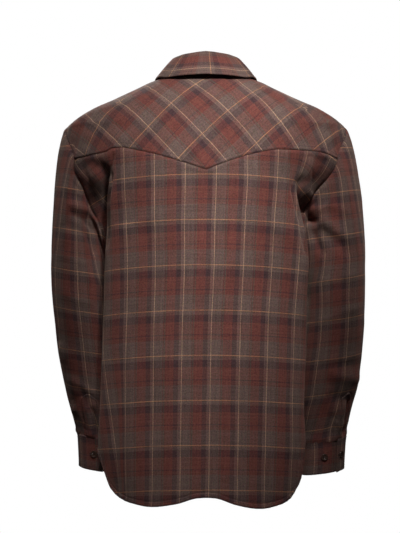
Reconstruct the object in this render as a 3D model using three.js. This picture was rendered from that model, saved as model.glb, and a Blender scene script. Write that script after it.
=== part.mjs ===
// Shirt jacket in its worn form with no wearer.
// Units are mm, +Z up, the front faces -Y, +X is the wearer's left.
// The origin is the middle of the neck opening, at the height of the shoulder's neck points.
import * as THREE from 'three';

// Driving sizes
const clothWall = 1.6;
const bandWall = 2.6;
const seamInset = 0.2;
const armholeInset = 0.34;
const neckInset = 0.5;
const layerGap = 0.35;
const shoulderTopZ = -87;
const underarmZ = -345;
const backArmholeTopZ = -151;
const frontArmholeTopZ = -120;
const sideHemZ = -655;
const placketWidth = 35;
const cuffDepth = 62;
const cuffLap = 30;
const collarLap = 0.045;
const sleeveTiltTop = 27;
const sleeveTiltCuff = 6;
const sleeveUpperZ = -367;
const sleeveCuffZ = { left: -670, right: -675 };
const neckHalfWidth = 78;
const neckBackZ = 11;
const neckSideZ = 3;
const neckFrontZ = -66;
const yokeEndShare = 0.3;
const buttonRadius = 8;
const cuffButtonRadius = 6.5;
const frontButtonTopZ = -118;
const frontButtonStep = 88;
const frontButtonCount = 7;

const colours = {
  cloth: 0x6b463d,
  band: 0x64423a,
  button: 0x2a1d1a,
};

function table(names, rows) {
  return rows.map((row) => Object.fromEntries(names.map((name, i) => [name, row[i]])));
}

// Where the rows of cloth lie at each height. A row runs from the centre over the ridge, which is
// the edge seen from behind, into the hollow behind the arm and out to the armhole or side seam.
const backCentre = table(['z', 'y'], [
  [14, 46], [8, 54], [0, 64], [-20, 82], [-50, 104], [-87, 121], [-120, 130], [-151, 136], [-175, 139],
  [-230, 141], [-300, 142], [-400, 139], [-500, 134], [-600, 129], [-700, 125], [-800, 122],
]);
const frontCentre = table(['z', 'y'], [
  [14, -18], [0, -28], [-20, -43], [-50, -62], [-66, -72], [-87, -86], [-120, -105], [-165, -123],
  [-210, -133], [-260, -141], [-345, -147], [-450, -144], [-600, -137], [-800, -130],
]);
const rowNames = ['z', 'ridgeX', 'ridgeY', 'hollowX', 'hollowY'];
const backLeft = table(rowNames, [
  [-120, 172, 107, 222, 74], [-151, 162, 115, 204, 89], [-175, 166, 112, 184, 84],
  [-200, 171, 108, 180, 76], [-230, 176, 103, 182, 66], [-267, 176, 98, 181, 56],
  [-300, 178, 94, 180, 46], [-345, 181, 90, 180, 40], [-400, 184, 86, 177, 38],
  [-500, 188, 80, 180, 35], [-600, 191, 76, 181, 34], [-670, 195, 72, 184, 32],
  [-720, 192, 70, 183, 31], [-800, 184, 68, 180, 30],
]);
const backRight = table(rowNames, [
  [-120, 160, 110, 218, 76], [-151, 150, 118, 200, 91], [-175, 151, 115, 186, 90],
  [-200, 154, 111, 168, 84], [-230, 161, 106, 166, 70], [-267, 172, 101, 168, 58],
  [-300, 180, 95, 172, 48], [-345, 184, 90, 176, 41], [-400, 182, 86, 172, 38],
  [-500, 181, 80, 170, 35], [-600, 177, 76, 168, 34], [-670, 180, 73, 170, 32],
  [-720, 171, 72, 166, 31], [-800, 166, 70, 162, 30],
]);
const frontSide = table(rowNames, [
  [-120, 176, -88, 217, -70], [-165, 165, -104, 200, -90], [-210, 157, -112, 187, -99],
  [-260, 152, -114, 177, -97], [-310, 150, -110, 173, -80], [-345, 148, -106, 170, -60],
  [-400, 144, -102, 160, -58], [-500, 139, -98, 154, -57], [-600, 134, -96, 151, -57],
  [-670, 131, -95, 149, -57], [-800, 130, -93, 149, -57],
]);
const shoulderLine = table(['z', 'x', 'y'], [
  [14, 74, -6], [3, 78, -6], [-7, 105, -6], [-20, 132, -6], [-38, 171, -6], [-59, 218, -6],
  [-75, 244, -6], [shoulderTopZ, 257, -6],
]);
const sideSeam = table(['z', 'x', 'y'], [
  [underarmZ, 183, -8], [-360, 177, -8], [-400, 168, -8], [-500, 163, -8], [-670, 164, -8],
  [-800, 163, -8],
]);
const armholes = {
  backLeft: table(['z', 'x', 'y'], [
    [shoulderTopZ, 257, -6], [-92, 259, 10], [-106, 258, 27], [-120, 252, 40], [-132, 246, 50],
    [-151, 241, 61], [-172, 243, 60], [-200, 228, 53], [-228, 218, 48], [-247, 211, 45],
    [-267, 200, 41], [-300, 191, 31], [-320, 187, 22], [-335, 185, 12], [-342, 184, 4],
    [underarmZ, 183, -8],
  ]),
  backRight: table(['z', 'x', 'y'], [
    [shoulderTopZ, 257, -6], [-92, 259, 10], [-106, 258, 27], [-120, 252, 40], [-132, 245, 50],
    [-151, 240, 61], [-162, 238, 61], [-185, 225, 56], [-215, 198, 48], [-243, 182, 43],
    [-267, 179, 39], [-300, 180, 30], [-320, 182, 22], [-335, 183, 12], [-342, 183, 4],
    [underarmZ, 183, -8],
  ]),
  front: table(['z', 'x', 'y'], [
    [shoulderTopZ, 257, -6], [-92, 258, -18], [-106, 254, -34], [-120, 248, -48],
    [-165, 229, -70], [-210, 211, -81], [-260, 197, -76], [-300, 190, -60], [-320, 186, -47],
    [-335, 183, -32], [-342, 183, -20], [underarmZ, 183, -8],
  ]),
};

// Edges of the panels, by the fraction across from the centre (0) to the side (1)
const backHem = {
  left: table(['u', 'z'], [
    [0, -763], [0.06, -764], [0.21, -775], [0.37, -781], [0.46, -775], [0.51, -765], [0.55, -748],
    [0.58, -722], [0.62, -696], [0.8, -668], [1, sideHemZ],
  ]),
  right: table(['u', 'z'], [
    [0, -763], [0.06, -764], [0.23, -777], [0.4, -785], [0.49, -779], [0.54, -770], [0.58, -753],
    [0.61, -728], [0.65, -703], [0.8, -673], [1, sideHemZ],
  ]),
};
const frontHem = table(['u', 'z'], [
  [0, -772], [0.25, -777], [0.4, -770], [0.52, -748], [0.64, -712], [0.8, -678], [1, sideHemZ],
]);
const yokeSeam = {
  left: table(['u', 'z'], [
    [0, -175], [0.16, -163], [0.36, -148], [0.46, -141], [0.58, -134], [0.63, -135],
    [0.68, -141], [0.78, -145], [1, backArmholeTopZ],
  ]),
  right: table(['u', 'z'], [
    [0, -175], [0.18, -160], [0.38, -146], [0.55, -138], [0.73, -139], [0.87, -143],
    [1, backArmholeTopZ],
  ]),
};

// Sleeve sections at each height, as distances from the garment's middle plane and its depth
const sleeveNames = ['z', 'outer', 'inner', 'front', 'back'];
const sleeveSections = {
  left: table(sleeveNames, [
    [-300, 287, 183, -84, 68], [-340, 288, 182, -83, 67], [-400, 287, 182, -81, 62],
    [-454, 283, 179, -81, 52], [-498, 279, 176, -82, 40], [-551, 270, 172, -86, 26],
    [-598, 261, 168, -92, 12], [-637, 250, 163, -97, 0], [-670, 243, 161, -99, -9],
    [-740, 240, 158, -102, -13],
  ]),
  right: table(sleeveNames, [
    [-300, 293, 187, -84, 68], [-340, 297, 187, -84, 67], [-400, 297, 187, -82, 62],
    [-454, 296, 182, -82, 52], [-519, 292, 178, -84, 36], [-577, 286, 177, -90, 20],
    [-619, 275, 180, -96, 6], [-676, 264, 184, -100, -9], [-745, 260, 181, -103, -13],
  ]),
};

// Folds pressed into the cloth, as lines seen square to the face they are on
const foldNames = ['face', 'x0', 'z0', 'x1', 'z1', 'wide', 'high'];
const bodyFolds = table(foldNames, [
  [1, 138, -430, 141, -760, 20, 3.5],
  [1, 100, -520, 96, -780, 22, -2.5],
  [1, -132, -470, -136, -770, 20, 3],
  [1, -92, -560, -84, -780, 20, -2],
  [1, -186, -150, -188, -232, 9, 5],
  [1, 40, -240, 62, -520, 26, -2],
  [1, -60, -230, -40, -470, 26, -2],
  [-1, 90, -300, 70, -760, 24, 3],
  [-1, -88, -300, -72, -760, 24, 3],
  [-1, 120, -250, 60, -420, 20, -3],
  [-1, -122, -250, -62, -420, 20, -3],
]);
const sleeveFolds = table(foldNames, [
  [1, 254, -234, 212, -248, 8, 7],
  [1, 262, -268, 222, -290, 10, -4],
  [1, 274, -488, 234, -592, 13, 5],
  [1, 262, -520, 214, -610, 12, -3.5],
  [1, 244, -618, 227, -690, 6, -4.5],
  [1, 252, -600, 238, -690, 6, 3],
  [1, -196, -252, -262, -300, 10, 5],
  [1, -206, -276, -268, -330, 11, -4],
  [1, -300, -562, -226, -548, 13, 5],
  [1, -296, -602, -224, -590, 12, -4],
  [1, -236, -622, -230, -690, 6, -4],
  [-1, 280, -430, 200, -500, 14, -5],
  [-1, 280, -470, 200, -540, 12, 4],
  [-1, -290, -430, -205, -500, 14, -5],
  [-1, -290, -470, -205, -540, 12, 4],
]);

// The collar, by the turn round the neck from the centre back (0) to the centre front (1).
// The stand leans in and stands up from the neck seam. The fall's edge lies just off the body.
const standNames = ['turn', 'lean', 'tall'];
const standRise = table(standNames, [
  [0, 12, 29], [0.25, 13, 26], [0.5, 15, 23], [0.75, 7, 25], [1, 1, 29],
]);
const fallEdge = table(['turn', 'x', 'y', 'z'], [
  [0, 0, 80, 2], [0.16, 38, 75, 0.5], [0.3, 70, 56, -1.5], [0.4, 86, 30, 1.5], [0.5, 93, -4, 2],
  [0.62, 97, -38, -13], [0.75, 95, -66, -49], [0.88, 82, -85, -78], [1, 62, -98, -96],
]);
const rollProfile = [[0, 0.8], [0.2, 3.4], [2, 5.3], [4.2, 5.4], [6, 3.6], [7, 0.4]];
const fallEnd = 0.95;

function sideName(side) {
  return side > 0 ? 'left' : 'right';
}

function mix(a, b, t) {
  return a + (b - a) * t;
}

function smooth(a, b, t) {
  const s = Math.min(Math.max((t - a) / (b - a), 0), 1);
  return s * s * (3 - 2 * s);
}

function cubic(a, slopeA, b, slopeB, t, step) {
  const t2 = t * t;
  const t3 = t2 * t;
  const left = (2 * t3 - 3 * t2 + 1) * a + (t3 - 2 * t2 + t) * slopeA * step;
  return left + (3 * t2 - 2 * t3) * b + (t3 - t2) * slopeB * step;
}

// One column of a table at a place between its rows, with no overshoot
function read(rows, key, name, where) {
  const keys = rows.map((row) => row[key]);
  const rising = keys[1] > keys[0];
  const last = rows.length - 1;
  let i = 0;
  while (i < last - 1 && (rising ? where > keys[i + 1] : where < keys[i + 1])) i += 1;
  const slope = (k) => (rows[k + 1][name] - rows[k][name]) / (keys[k + 1] - keys[k]);
  const tangent = (k) => {
    if (k === 0) return slope(0);
    if (k === last) return slope(last - 1);
    const a = slope(k - 1);
    const b = slope(k);
    return a * b <= 0 ? 0 : (2 * a * b) / (a + b);
  };
  const step = keys[i + 1] - keys[i];
  const t = (where - keys[i]) / step;
  if (t < 0) return rows[i][name] + tangent(i) * t * step;
  if (t > 1) return rows[i + 1][name] + tangent(i + 1) * (t - 1) * step;
  return cubic(rows[i][name], tangent(i), rows[i + 1][name], tangent(i + 1), t, step);
}

// The edge of a panel at a height: shoulder line, armhole seam or side seam
function edgeAt(half, side, z) {
  const hole = half === 'front' ? armholes.front : armholes[side > 0 ? 'backLeft' : 'backRight'];
  let rows = hole;
  if (z >= shoulderTopZ) rows = shoulderLine;
  if (z <= underarmZ) rows = sideSeam;
  return [side * read(rows, 'z', 'x', z), read(rows, 'z', 'y', z)];
}

const rowKnots = [0, 0.34, 0.62, 0.8, 1];

// Five points of a row of cloth on one side of the body at a height
function rowSide(half, side, z) {
  const centre = half === 'back' ? backCentre : frontCentre;
  const centreY = read(centre, 'z', 'y', z);
  const edge = edgeAt(half, side, z);
  const backRows = side > 0 ? backLeft : backRight;
  const rows = half === 'front' ? frontSide : backRows;
  const topZ = Math.max(z, shoulderTopZ);
  const top = edgeAt(half, side, topZ);
  const reach = Math.abs(top[0]);
  const depth = read(centre, 'z', 'y', topZ);
  const high = [[0.72 * reach, mix(top[1], depth, 0.76)], [0.93 * reach, mix(top[1], depth, 0.44)]];
  const low = [
    [read(rows, 'z', 'ridgeX', z), read(rows, 'z', 'ridgeY', z)],
    [read(rows, 'z', 'hollowX', z), read(rows, 'z', 'hollowY', z)],
  ];
  const blend = smooth(-122, -84, z);
  const ridge = [mix(low[0][0], high[0][0], blend), mix(low[0][1], high[0][1], blend)];
  const hollow = [mix(low[1][0], high[1][0], blend), mix(low[1][1], high[1][1], blend)];
  const flat = [0.5 * ridge[0], mix(centreY, ridge[1], 0.16)];
  return [[0, centreY], [side * flat[0], flat[1]], [side * ridge[0], ridge[1]],
    [side * hollow[0], hollow[1]], edge];
}

// A smooth line through points at uneven knots
function curve(points, knots, where) {
  const last = points.length - 1;
  let i = 0;
  while (i < last - 1 && where > knots[i + 1]) i += 1;
  const step = knots[i + 1] - knots[i];
  const t = (where - knots[i]) / step;
  return points[0].map((_, axis) => {
    const slope = (k) => (points[k + 1][axis] - points[k][axis]) / (knots[k + 1] - knots[k]);
    const tangent = (k) => {
      if (k === 0) return slope(0);
      if (k === last) return slope(last - 1);
      const before = knots[k] - knots[k - 1];
      const after = knots[k + 1] - knots[k];
      return (slope(k - 1) * after + slope(k) * before) / (before + after);
    };
    return cubic(points[i][axis], tangent(i), points[i + 1][axis], tangent(i + 1), t, step);
  });
}

const rowStore = new Map();

// A point of the body: across from -1 (right side) to 1 (left side), at a height
function bodyPoint(half, across, z) {
  const name = half + z.toFixed(4);
  if (!rowStore.has(name)) {
    const right = rowSide(half, -1, z).slice(1).reverse();
    rowStore.set(name, right.concat(rowSide(half, 1, z)));
  }
  const knots = rowKnots.slice(1).map((k) => -k).reverse().concat(rowKnots);
  const [x, y] = curve(rowStore.get(name), knots, across);
  return new THREE.Vector3(x, y, z);
}

function hemHeight(half, across) {
  const rows = half === 'front' ? frontHem : backHem[sideName(across)];
  return read(rows, 'u', 'z', Math.abs(across));
}

function backTopHeight(across) {
  return read(yokeSeam[sideName(across)], 'u', 'z', Math.abs(across));
}

// The place across a row where the cloth is a given distance from the middle
function acrossAt(half, reach, z) {
  let low = 0;
  let high = 1;
  for (let i = 0; i < 30; i += 1) {
    const middle = (low + high) / 2;
    if (bodyPoint(half, middle, z).x < reach) low = middle;
    else high = middle;
  }
  return (low + high) / 2;
}

// The neck seam on the body, by its share of the way from the centre back to the shoulder, and
// from the shoulder to the centre front
const backNeck = steps(0, 1, 20).map((share) => (
  { share, u: share, z: mix(neckBackZ, neckSideZ, share ** 2) }));
const frontNeck = steps(0, 1, 20).map((share) => {
  const z = mix(neckSideZ, neckFrontZ, Math.sin((Math.PI / 2) * share) ** 1.4);
  return { share, u: acrossAt('front', neckHalfWidth * Math.cos((Math.PI / 2) * share), z), z };
});
const yokeFrontU = read(frontNeck, 'share', 'u', yokeEndShare);
const yokeFrontZ = read(frontNeck, 'share', 'z', yokeEndShare);

function frontTopHeight(across) {
  const u = Math.abs(across);
  if (u <= yokeFrontU) return read(frontNeck, 'u', 'z', u);
  return mix(yokeFrontZ, frontArmholeTopZ, (u - yokeFrontU) / (1 - yokeFrontU));
}

// A grid of points, column by column
function grid(columns, rows, point) {
  return columns.map((c) => rows.map((r) => point(c, r)));
}

function steps(from, to, count) {
  return Array.from({ length: count + 1 }, (_, i) => mix(from, to, i / count));
}

// Steps that close up towards the far end
function rounded(from, to, count) {
  return steps(0, Math.PI / 2, count).map((angle) => mix(to, from, Math.cos(angle)));
}

const halfColumns = [
  0, 0.1, 0.2, 0.29, 0.37, 0.44, 0.5, 0.55, 0.59, 0.63, 0.68, 0.73, 0.79, 0.86, 0.93, 1,
];
const backColumns = halfColumns.slice(1).map((u) => -u).reverse().concat(halfColumns);
const yokeRows = steps(0, 1, 8);
const frontColumns = [0.14, 0.24, 0.35].concat(yokeRows.map((t) => mix(yokeFrontU, 1, t)));

function sideLevels(topZ, armCells) {
  const level = (z) => (z - sideHemZ) / (topZ - sideHemZ);
  const low = steps(sideHemZ, underarmZ, 13).map(level);
  const high = rounded(underarmZ, topZ, armCells).map(level);
  return low.concat(high.slice(1));
}

const backLevels = sideLevels(backArmholeTopZ, 10);
const frontLevels = sideLevels(frontArmholeTopZ, 9);

const backGrid = grid(backColumns, backLevels, (u, v) => (
  bodyPoint('back', u, mix(hemHeight('back', u), backTopHeight(u), v))));

// The two fronts lap at the centre, the left one outside. The first columns keep to the placket.
function frontGrid(side) {
  const placketColumns = [-0.5, 0, 0.5].map((share) => ({ reach: share * placketWidth }));
  const columns = placketColumns.concat(frontColumns.map((u) => ({ u })));
  const heightAt = (u, v) => mix(hemHeight('front', u), frontTopHeight(u), v);
  return grid(columns, frontLevels, (column, v) => {
    let u = column.u ?? column.reach / 220;
    let z = heightAt(u, v);
    if (column.u === undefined) {
      u = Math.sign(column.reach) * acrossAt('front', Math.abs(column.reach), z);
      z = heightAt(u, v);
    }
    const point = bodyPoint('front', side * u, z);
    point.y -= side * 1.3 * (1 - smooth(20, 56, side * point.x));
    return point;
  });
}

// The yoke, as columns from the neck to its outer edge, from the right front round to the left
function yokeColumn(side, part, t) {
  let half = 'back';
  let share = 0.55 * part.u;
  let outer = [part.u, backTopHeight(side * part.u)];
  if (part.at === 'backHole') {
    share = mix(0.55, 1, part.u);
    outer = [1, mix(backArmholeTopZ, shoulderTopZ, part.u)];
  }
  if (part.at === 'frontHole') {
    half = 'front';
    share = mix(0, yokeEndShare, part.u);
    outer = [1, mix(shoulderTopZ, frontArmholeTopZ, part.u)];
  }
  const neck = half === 'back' ? backNeck : frontNeck;
  const u = mix(read(neck, 'share', 'u', share), outer[0], t);
  const z = mix(read(neck, 'share', 'z', share), outer[1], t);
  return bodyPoint(half, side * u, z);
}

const yokeHalf = halfColumns.map((u) => ({ at: 'seam', u }))
  .concat(steps(0, 1, 4).slice(1).map((u) => ({ at: 'backHole', u })))
  .concat(steps(0, 1, 2).slice(1).map((u) => ({ at: 'frontHole', u })));

const yokeGrid = yokeHalf.slice(1).reverse().map((part) => yokeRows.map((t) => yokeColumn(-1, part, t)))
  .concat(yokeHalf.map((part) => yokeRows.map((t) => yokeColumn(1, part, t))));

// The armhole as one ring of points: up the back, over the shoulder, down the front
function armholeRing(side) {
  const ring = [];
  const backEdge = side > 0 ? backGrid[backGrid.length - 1] : backGrid[0];
  backEdge.slice(13).forEach((point) => ring.push(point.clone()));
  yokeHalf.slice(halfColumns.length).forEach((part) => ring.push(yokeColumn(side, part, 1)));
  const levels = frontLevels.slice(13, -1).reverse();
  levels.forEach((v) => ring.push(bodyPoint('front', side, mix(sideHemZ, frontArmholeTopZ, v))));
  return ring.slice(0, -1);
}

// The ring's point at the top of the shoulder, where the turn is a half
const topIndex = 14;
const cuffEdgeTurn = { left: 0.235, right: 0.333 };
const placketColumn = { left: 5, right: 8 };

function ringTurns(ring) {
  const lengths = [0];
  ring.forEach((point, i) => {
    const next = ring[(i + 1) % ring.length];
    lengths.push(lengths[i] + point.distanceTo(next));
  });
  const top = lengths[topIndex];
  const whole = lengths[ring.length];
  return ring.map((_, i) => {
    if (i <= topIndex) return (0.5 * lengths[i]) / top;
    return 0.5 + (0.5 * (lengths[i] - top)) / (whole - top);
  });
}

// A point of the sleeve's lower part: turn 0 faces the body, 0.25 the back, 0.5 outward
function sleevePoint(side, turn, level, grow = 0) {
  const rows = sleeveSections[sideName(side)];
  const angle = turn * 2 * Math.PI;
  const rise = smooth(sleeveCuffZ[sideName(side)], sleeveUpperZ, level);
  const tilt = mix(sleeveTiltCuff, sleeveTiltTop, rise);
  const z = level - tilt * Math.cos(angle);
  const outer = read(rows, 'z', 'outer', z);
  const inner = read(rows, 'z', 'inner', z);
  const front = read(rows, 'z', 'front', z);
  const back = read(rows, 'z', 'back', z);
  const power = 0.88;
  const swing = (value) => Math.sign(value) * Math.abs(value) ** power;
  const x = (outer + inner) / 2 - ((outer - inner) / 2 + grow) * swing(Math.cos(angle));
  const y = (back + front) / 2 + ((back - front) / 2 + grow) * swing(Math.sin(angle));
  return new THREE.Vector3(side * x, y, z);
}

// The turn of one column of the sleeve at a level, drawn over so that a column meets the cuff's lap
function columnTurn(side, turns, i, level) {
  const shift = cuffEdgeTurn[sideName(side)] - turns[placketColumn[sideName(side)]];
  return turns[i] + shift * (1 - smooth(sleeveCuffZ[sideName(side)], sleeveUpperZ, level));
}

function sleeveGrid(side) {
  const ring = armholeRing(side);
  const turns = ringTurns(ring);
  const upper = steps(0, 1, 9);
  const lower = steps(sleeveUpperZ, sleeveCuffZ[sideName(side)], 15).slice(1);
  return ring.map((start, i) => {
    const angle = turns[i] * 2 * Math.PI;
    const level = Math.cos(angle) ** 2;
    const end = sleevePoint(side, turns[i], sleeveUpperZ);
    const below = sleevePoint(side, turns[i], sleeveUpperZ - 10);
    const far = start.distanceTo(end);
    const leave = new THREE.Vector3(
      side * (0.66 + 0.14 * level),
      0.6 * Math.sin(angle),
      -0.72 + 0.08 * level,
    ).normalize().multiplyScalar(0.3 * far);
    const arrive = below.clone().sub(end).normalize().multiplyScalar(far);
    const top = upper.map((t) => new THREE.Vector3(
      cubic(start.x, leave.x, end.x, arrive.x, t, 1),
      cubic(start.y, leave.y, end.y, arrive.y, t, 1),
      cubic(start.z, leave.z, end.z, arrive.z, t, 1),
    ));
    return top.concat(lower.map((z) => sleevePoint(side, columnTurn(side, turns, i, z), z)));
  });
}

// Normals of a grid, by the cross of its two directions
function gridNormals(points, loop) {
  const n = points.length;
  const m = points[0].length;
  return points.map((column, i) => column.map((_, j) => {
    const a = loop ? points[(i + 1) % n][j] : points[Math.min(i + 1, n - 1)][j];
    const b = loop ? points[(i + n - 1) % n][j] : points[Math.max(i - 1, 0)][j];
    const c = points[i][Math.min(j + 1, m - 1)];
    const d = points[i][Math.max(j - 1, 0)];
    return a.clone().sub(b).cross(c.clone().sub(d)).normalize();
  }));
}

function keyOf(point) {
  return point.toArray().map((value) => Math.round(value * 20)).join(' ');
}

// Panels that share seams get one mitre at each shared point, halfway between body and sleeve
function sharedNormals(panels) {
  const sums = new Map();
  panels.forEach((panel) => {
    panel.normals = gridNormals(panel.points, panel.loop);
    if (panel.flip) panel.normals.forEach((column) => column.forEach((normal) => normal.negate()));
    panel.points.forEach((column, i) => column.forEach((point, j) => {
      const key = keyOf(point);
      if (!sums.has(key)) sums.set(key, [new THREE.Vector3(), new THREE.Vector3()]);
      sums.get(key)[panel.loop ? 1 : 0].add(panel.normals[i][j]);
    }));
  });
  panels.forEach((panel) => {
    panel.mitre = panel.points.map((column) => column.map((point) => {
      const groups = sums.get(keyOf(point)).map((sum) => sum.clone().normalize());
      const mean = groups[0].clone().add(groups[1]).normalize();
      const own = groups[panel.loop ? 1 : 0];
      return mean.multiplyScalar(1 / Math.max(mean.dot(own), 0.35));
    }));
  });
}

// How far the folds of a table move a point of the cloth along its normal
function foldLift(folds, point, normal) {
  let lift = 0;
  folds.forEach((fold) => {
    const facing = smooth(0.05, 0.5, fold.face * normal.y);
    const dx = fold.x1 - fold.x0;
    const dz = fold.z1 - fold.z0;
    const long = Math.hypot(dx, dz);
    const px = point.x - fold.x0;
    const pz = point.z - fold.z0;
    const along = (px * dx + pz * dz) / long / long;
    if (facing === 0 || along < 0 || along > 1) return;
    const off = Math.abs(px * dz - pz * dx) / long;
    const ends = 1 - (2 * along - 1) ** 4;
    lift += fold.high * facing * ends * Math.exp(-((off / fold.wide) ** 2));
  });
  return lift;
}

// Turns a grid into a closed wall. Seam edges are drawn back by the inset.
function wall(name, panel, half, colour, insets) {
  const { points, loop } = panel;
  const n = points.length;
  const m = points[0].length;
  const moved = points.map((column) => column.map((point) => point.clone()));
  const pull = (i, j, ni, nj, by) => {
    const away = points[ni][nj].clone().sub(points[i][j]).normalize();
    moved[i][j].addScaledVector(away, by);
  };
  for (let i = 0; i < n; i += 1) {
    pull(i, 0, i, 1, insets[2]);
    pull(i, m - 1, i, m - 2, insets[3].length ? insets[3][i] : insets[3]);
  }
  if (!loop) {
    for (let j = 0; j < m; j += 1) {
      pull(0, j, 1, j, insets[0]);
      pull(n - 1, j, n - 2, j, insets[1]);
    }
  }
  const vertices = [];
  const layer = (sign) => moved.forEach((column, i) => column.forEach((point, j) => {
    vertices.push(...point.clone().addScaledVector(panel.mitre[i][j], sign * half).toArray());
  }));
  layer(1);
  layer(-1);
  const at = (side, i, j) => side * n * m + (i % n) * m + j;
  const faces = [];
  const quad = (a, b, c, d) => faces.push(a, b, c, a, c, d);
  const across = loop ? n : n - 1;
  for (let i = 0; i < across; i += 1) {
    for (let j = 0; j < m - 1; j += 1) {
      quad(at(0, i, j), at(0, i + 1, j), at(0, i + 1, j + 1), at(0, i, j + 1));
      quad(at(1, i, j), at(1, i, j + 1), at(1, i + 1, j + 1), at(1, i + 1, j));
    }
    quad(at(0, i, 0), at(1, i, 0), at(1, i + 1, 0), at(0, i + 1, 0));
    quad(at(0, i, m - 1), at(0, i + 1, m - 1), at(1, i + 1, m - 1), at(1, i, m - 1));
  }
  if (!loop) {
    for (let j = 0; j < m - 1; j += 1) {
      quad(at(0, 0, j), at(0, 0, j + 1), at(1, 0, j + 1), at(1, 0, j));
      quad(at(0, n - 1, j), at(1, n - 1, j), at(1, n - 1, j + 1), at(0, n - 1, j + 1));
    }
  }
  if (panel.flip) {
    for (let k = 0; k < faces.length; k += 3) [faces[k + 1], faces[k + 2]] = [faces[k + 2], faces[k + 1]];
  }
  return solid(name, vertices, faces, colour);
}

function solid(name, vertices, faces, colour) {
  const geometry = new THREE.BufferGeometry();
  geometry.setAttribute('position', new THREE.Float32BufferAttribute(vertices, 3));
  geometry.setIndex(faces);
  geometry.computeVertexNormals();
  const material = new THREE.MeshStandardMaterial({ color: colour, roughness: 0.9 });
  const mesh = new THREE.Mesh(geometry, material);
  mesh.name = name;
  return mesh;
}

// The main cloth, with its folds
const panels = {
  back: { points: backGrid, flip: true },
  yoke: { points: yokeGrid, flip: false },
  frontLeft: { points: frontGrid(1), flip: false },
  frontRight: { points: frontGrid(-1), flip: true },
  sleeveLeft: { points: sleeveGrid(1), loop: true, flip: false },
  sleeveRight: { points: sleeveGrid(-1), loop: true, flip: true },
};
const allPanels = Object.values(panels);
sharedNormals(allPanels);
allPanels.forEach((panel) => {
  panel.points = panel.points.map((column, i) => column.map((point, j) => {
    const folds = panel.loop && j > 0 ? sleeveFolds : bodyFolds;
    const lift = foldLift(folds, point, panel.mitre[i][j]);
    return point.clone().addScaledVector(panel.mitre[i][j].clone().normalize(), lift);
  }));
});
sharedNormals(allPanels);

// A level line round the neck, from the right front (-1) by the back (0) to the left front (1)
function neckPoint(turn) {
  const side = Math.sign(turn) || 1;
  const far = Math.abs(turn);
  const half = far <= 0.5 ? 'back' : 'front';
  const neck = far <= 0.5 ? backNeck : frontNeck;
  const share = far <= 0.5 ? 2 * far : 1 - Math.abs(2 - 2 * far);
  const across = (far > 1 ? -side : side) * read(neck, 'share', 'u', share);
  return bodyPoint(half, across, read(neck, 'share', 'z', share));
}

function neckOutward(turn) {
  const along = neckPoint(turn + 0.01).sub(neckPoint(turn - 0.01));
  return new THREE.Vector3(along.y, -along.x, 0).normalize().negate();
}

// The stand: t runs up from the neck seam to its top edge
function standPoint(turn, t) {
  const outward = neckOutward(turn);
  const far = Math.min(Math.abs(turn), 1);
  const point = neckPoint(turn).addScaledVector(outward, -0.6);
  point.addScaledVector(outward, -read(standRise, 'turn', 'lean', far) * t);
  point.z += read(standRise, 'turn', 'tall', far) * t + 0.75;
  point.y -= 1.6 * Math.sign(turn) * smooth(0.6, 0.94, far);
  return point;
}

// The fall: its steps roll over the stand's top edge, then run down to the fall's own edge
function fallPoint(turn, step) {
  const root = standPoint(turn, 1);
  const rise = root.clone().sub(standPoint(turn, 0)).normalize();
  const outward = neckOutward(turn);
  outward.addScaledVector(rise, -outward.dot(rise)).normalize();
  const rolled = rollProfile[Math.min(step, rollProfile.length - 1)];
  root.addScaledVector(outward, rolled[0]).addScaledVector(rise, rolled[1]);
  const share = Math.max(step - rollProfile.length + 1, 0) / 3;
  if (share === 0) return root;
  const far = Math.abs(turn) / fallEnd;
  const edge = new THREE.Vector3(
    Math.sign(turn) * read(fallEdge, 'turn', 'x', far),
    read(fallEdge, 'turn', 'y', far),
    read(fallEdge, 'turn', 'z', far),
  );
  const point = root.clone().lerp(edge, share);
  return point.addScaledVector(outward, Math.sin(Math.PI * share));
}

// The cuff: one band that laps itself, its top end outside
function cuffPoint(side, share, t) {
  const name = sideName(side);
  const turn = cuffEdgeTurn[name] + share;
  const ends = 1 - smooth(0.1, 0.24, share) - smooth(0.86, 1, share);
  const level = sleeveCuffZ[name] - 0.4 - cuffDepth * t;
  return sleevePoint(side, turn, level, 1.55 * ends);
}

// A closed wall of its own grid
function piece(name, points, half, colour, flip) {
  const panel = { points, flip };
  sharedNormals([panel]);
  return wall(name, panel, half, colour, [0, 0, 0, 0]);
}

// A band laid on part of a panel, made from the panel's own points moved out
function laidBand(name, panel, columns, rows, colour) {
  const lift = clothWall + layerGap;
  const pick = (from) => columns.map((i) => rows.map((j) => from[i][j]));
  const mitre = pick(panel.mitre);
  const points = pick(panel.points).map((column, i) => column.map((point, j) => (
    point.clone().addScaledVector(mitre[i][j], lift))));
  return wall(name, { points, mitre, flip: panel.flip }, clothWall / 2, colour, [0, 0, 0, 1.2]);
}

// A turned button with a raised rim, standing on a seat
function button(name, seat, radius, thick) {
  const profile = [[0, 0], [0.84, 0], [1, 0.35], [1, 0.85], [0.86, 1], [0.66, 0.72], [0, 0.72]];
  const line = profile.map(([r, h]) => new THREE.Vector2(r * radius, h * thick));
  const geometry = new THREE.LatheGeometry(line, 16);
  const material = new THREE.MeshStandardMaterial({ color: colours.button, roughness: 0.4 });
  geometry.deleteAttribute('uv');
  geometry.deleteAttribute('normal');
  const welded = weld(geometry);
  const turn = new THREE.Quaternion().setFromUnitVectors(new THREE.Vector3(0, 1, 0), seat.outward);
  welded.applyQuaternion(turn);
  welded.translate(seat.centre.x, seat.centre.y, seat.centre.z);
  welded.computeVertexNormals();
  const mesh = new THREE.Mesh(welded, material);
  mesh.name = name;
  return mesh;
}

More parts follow.
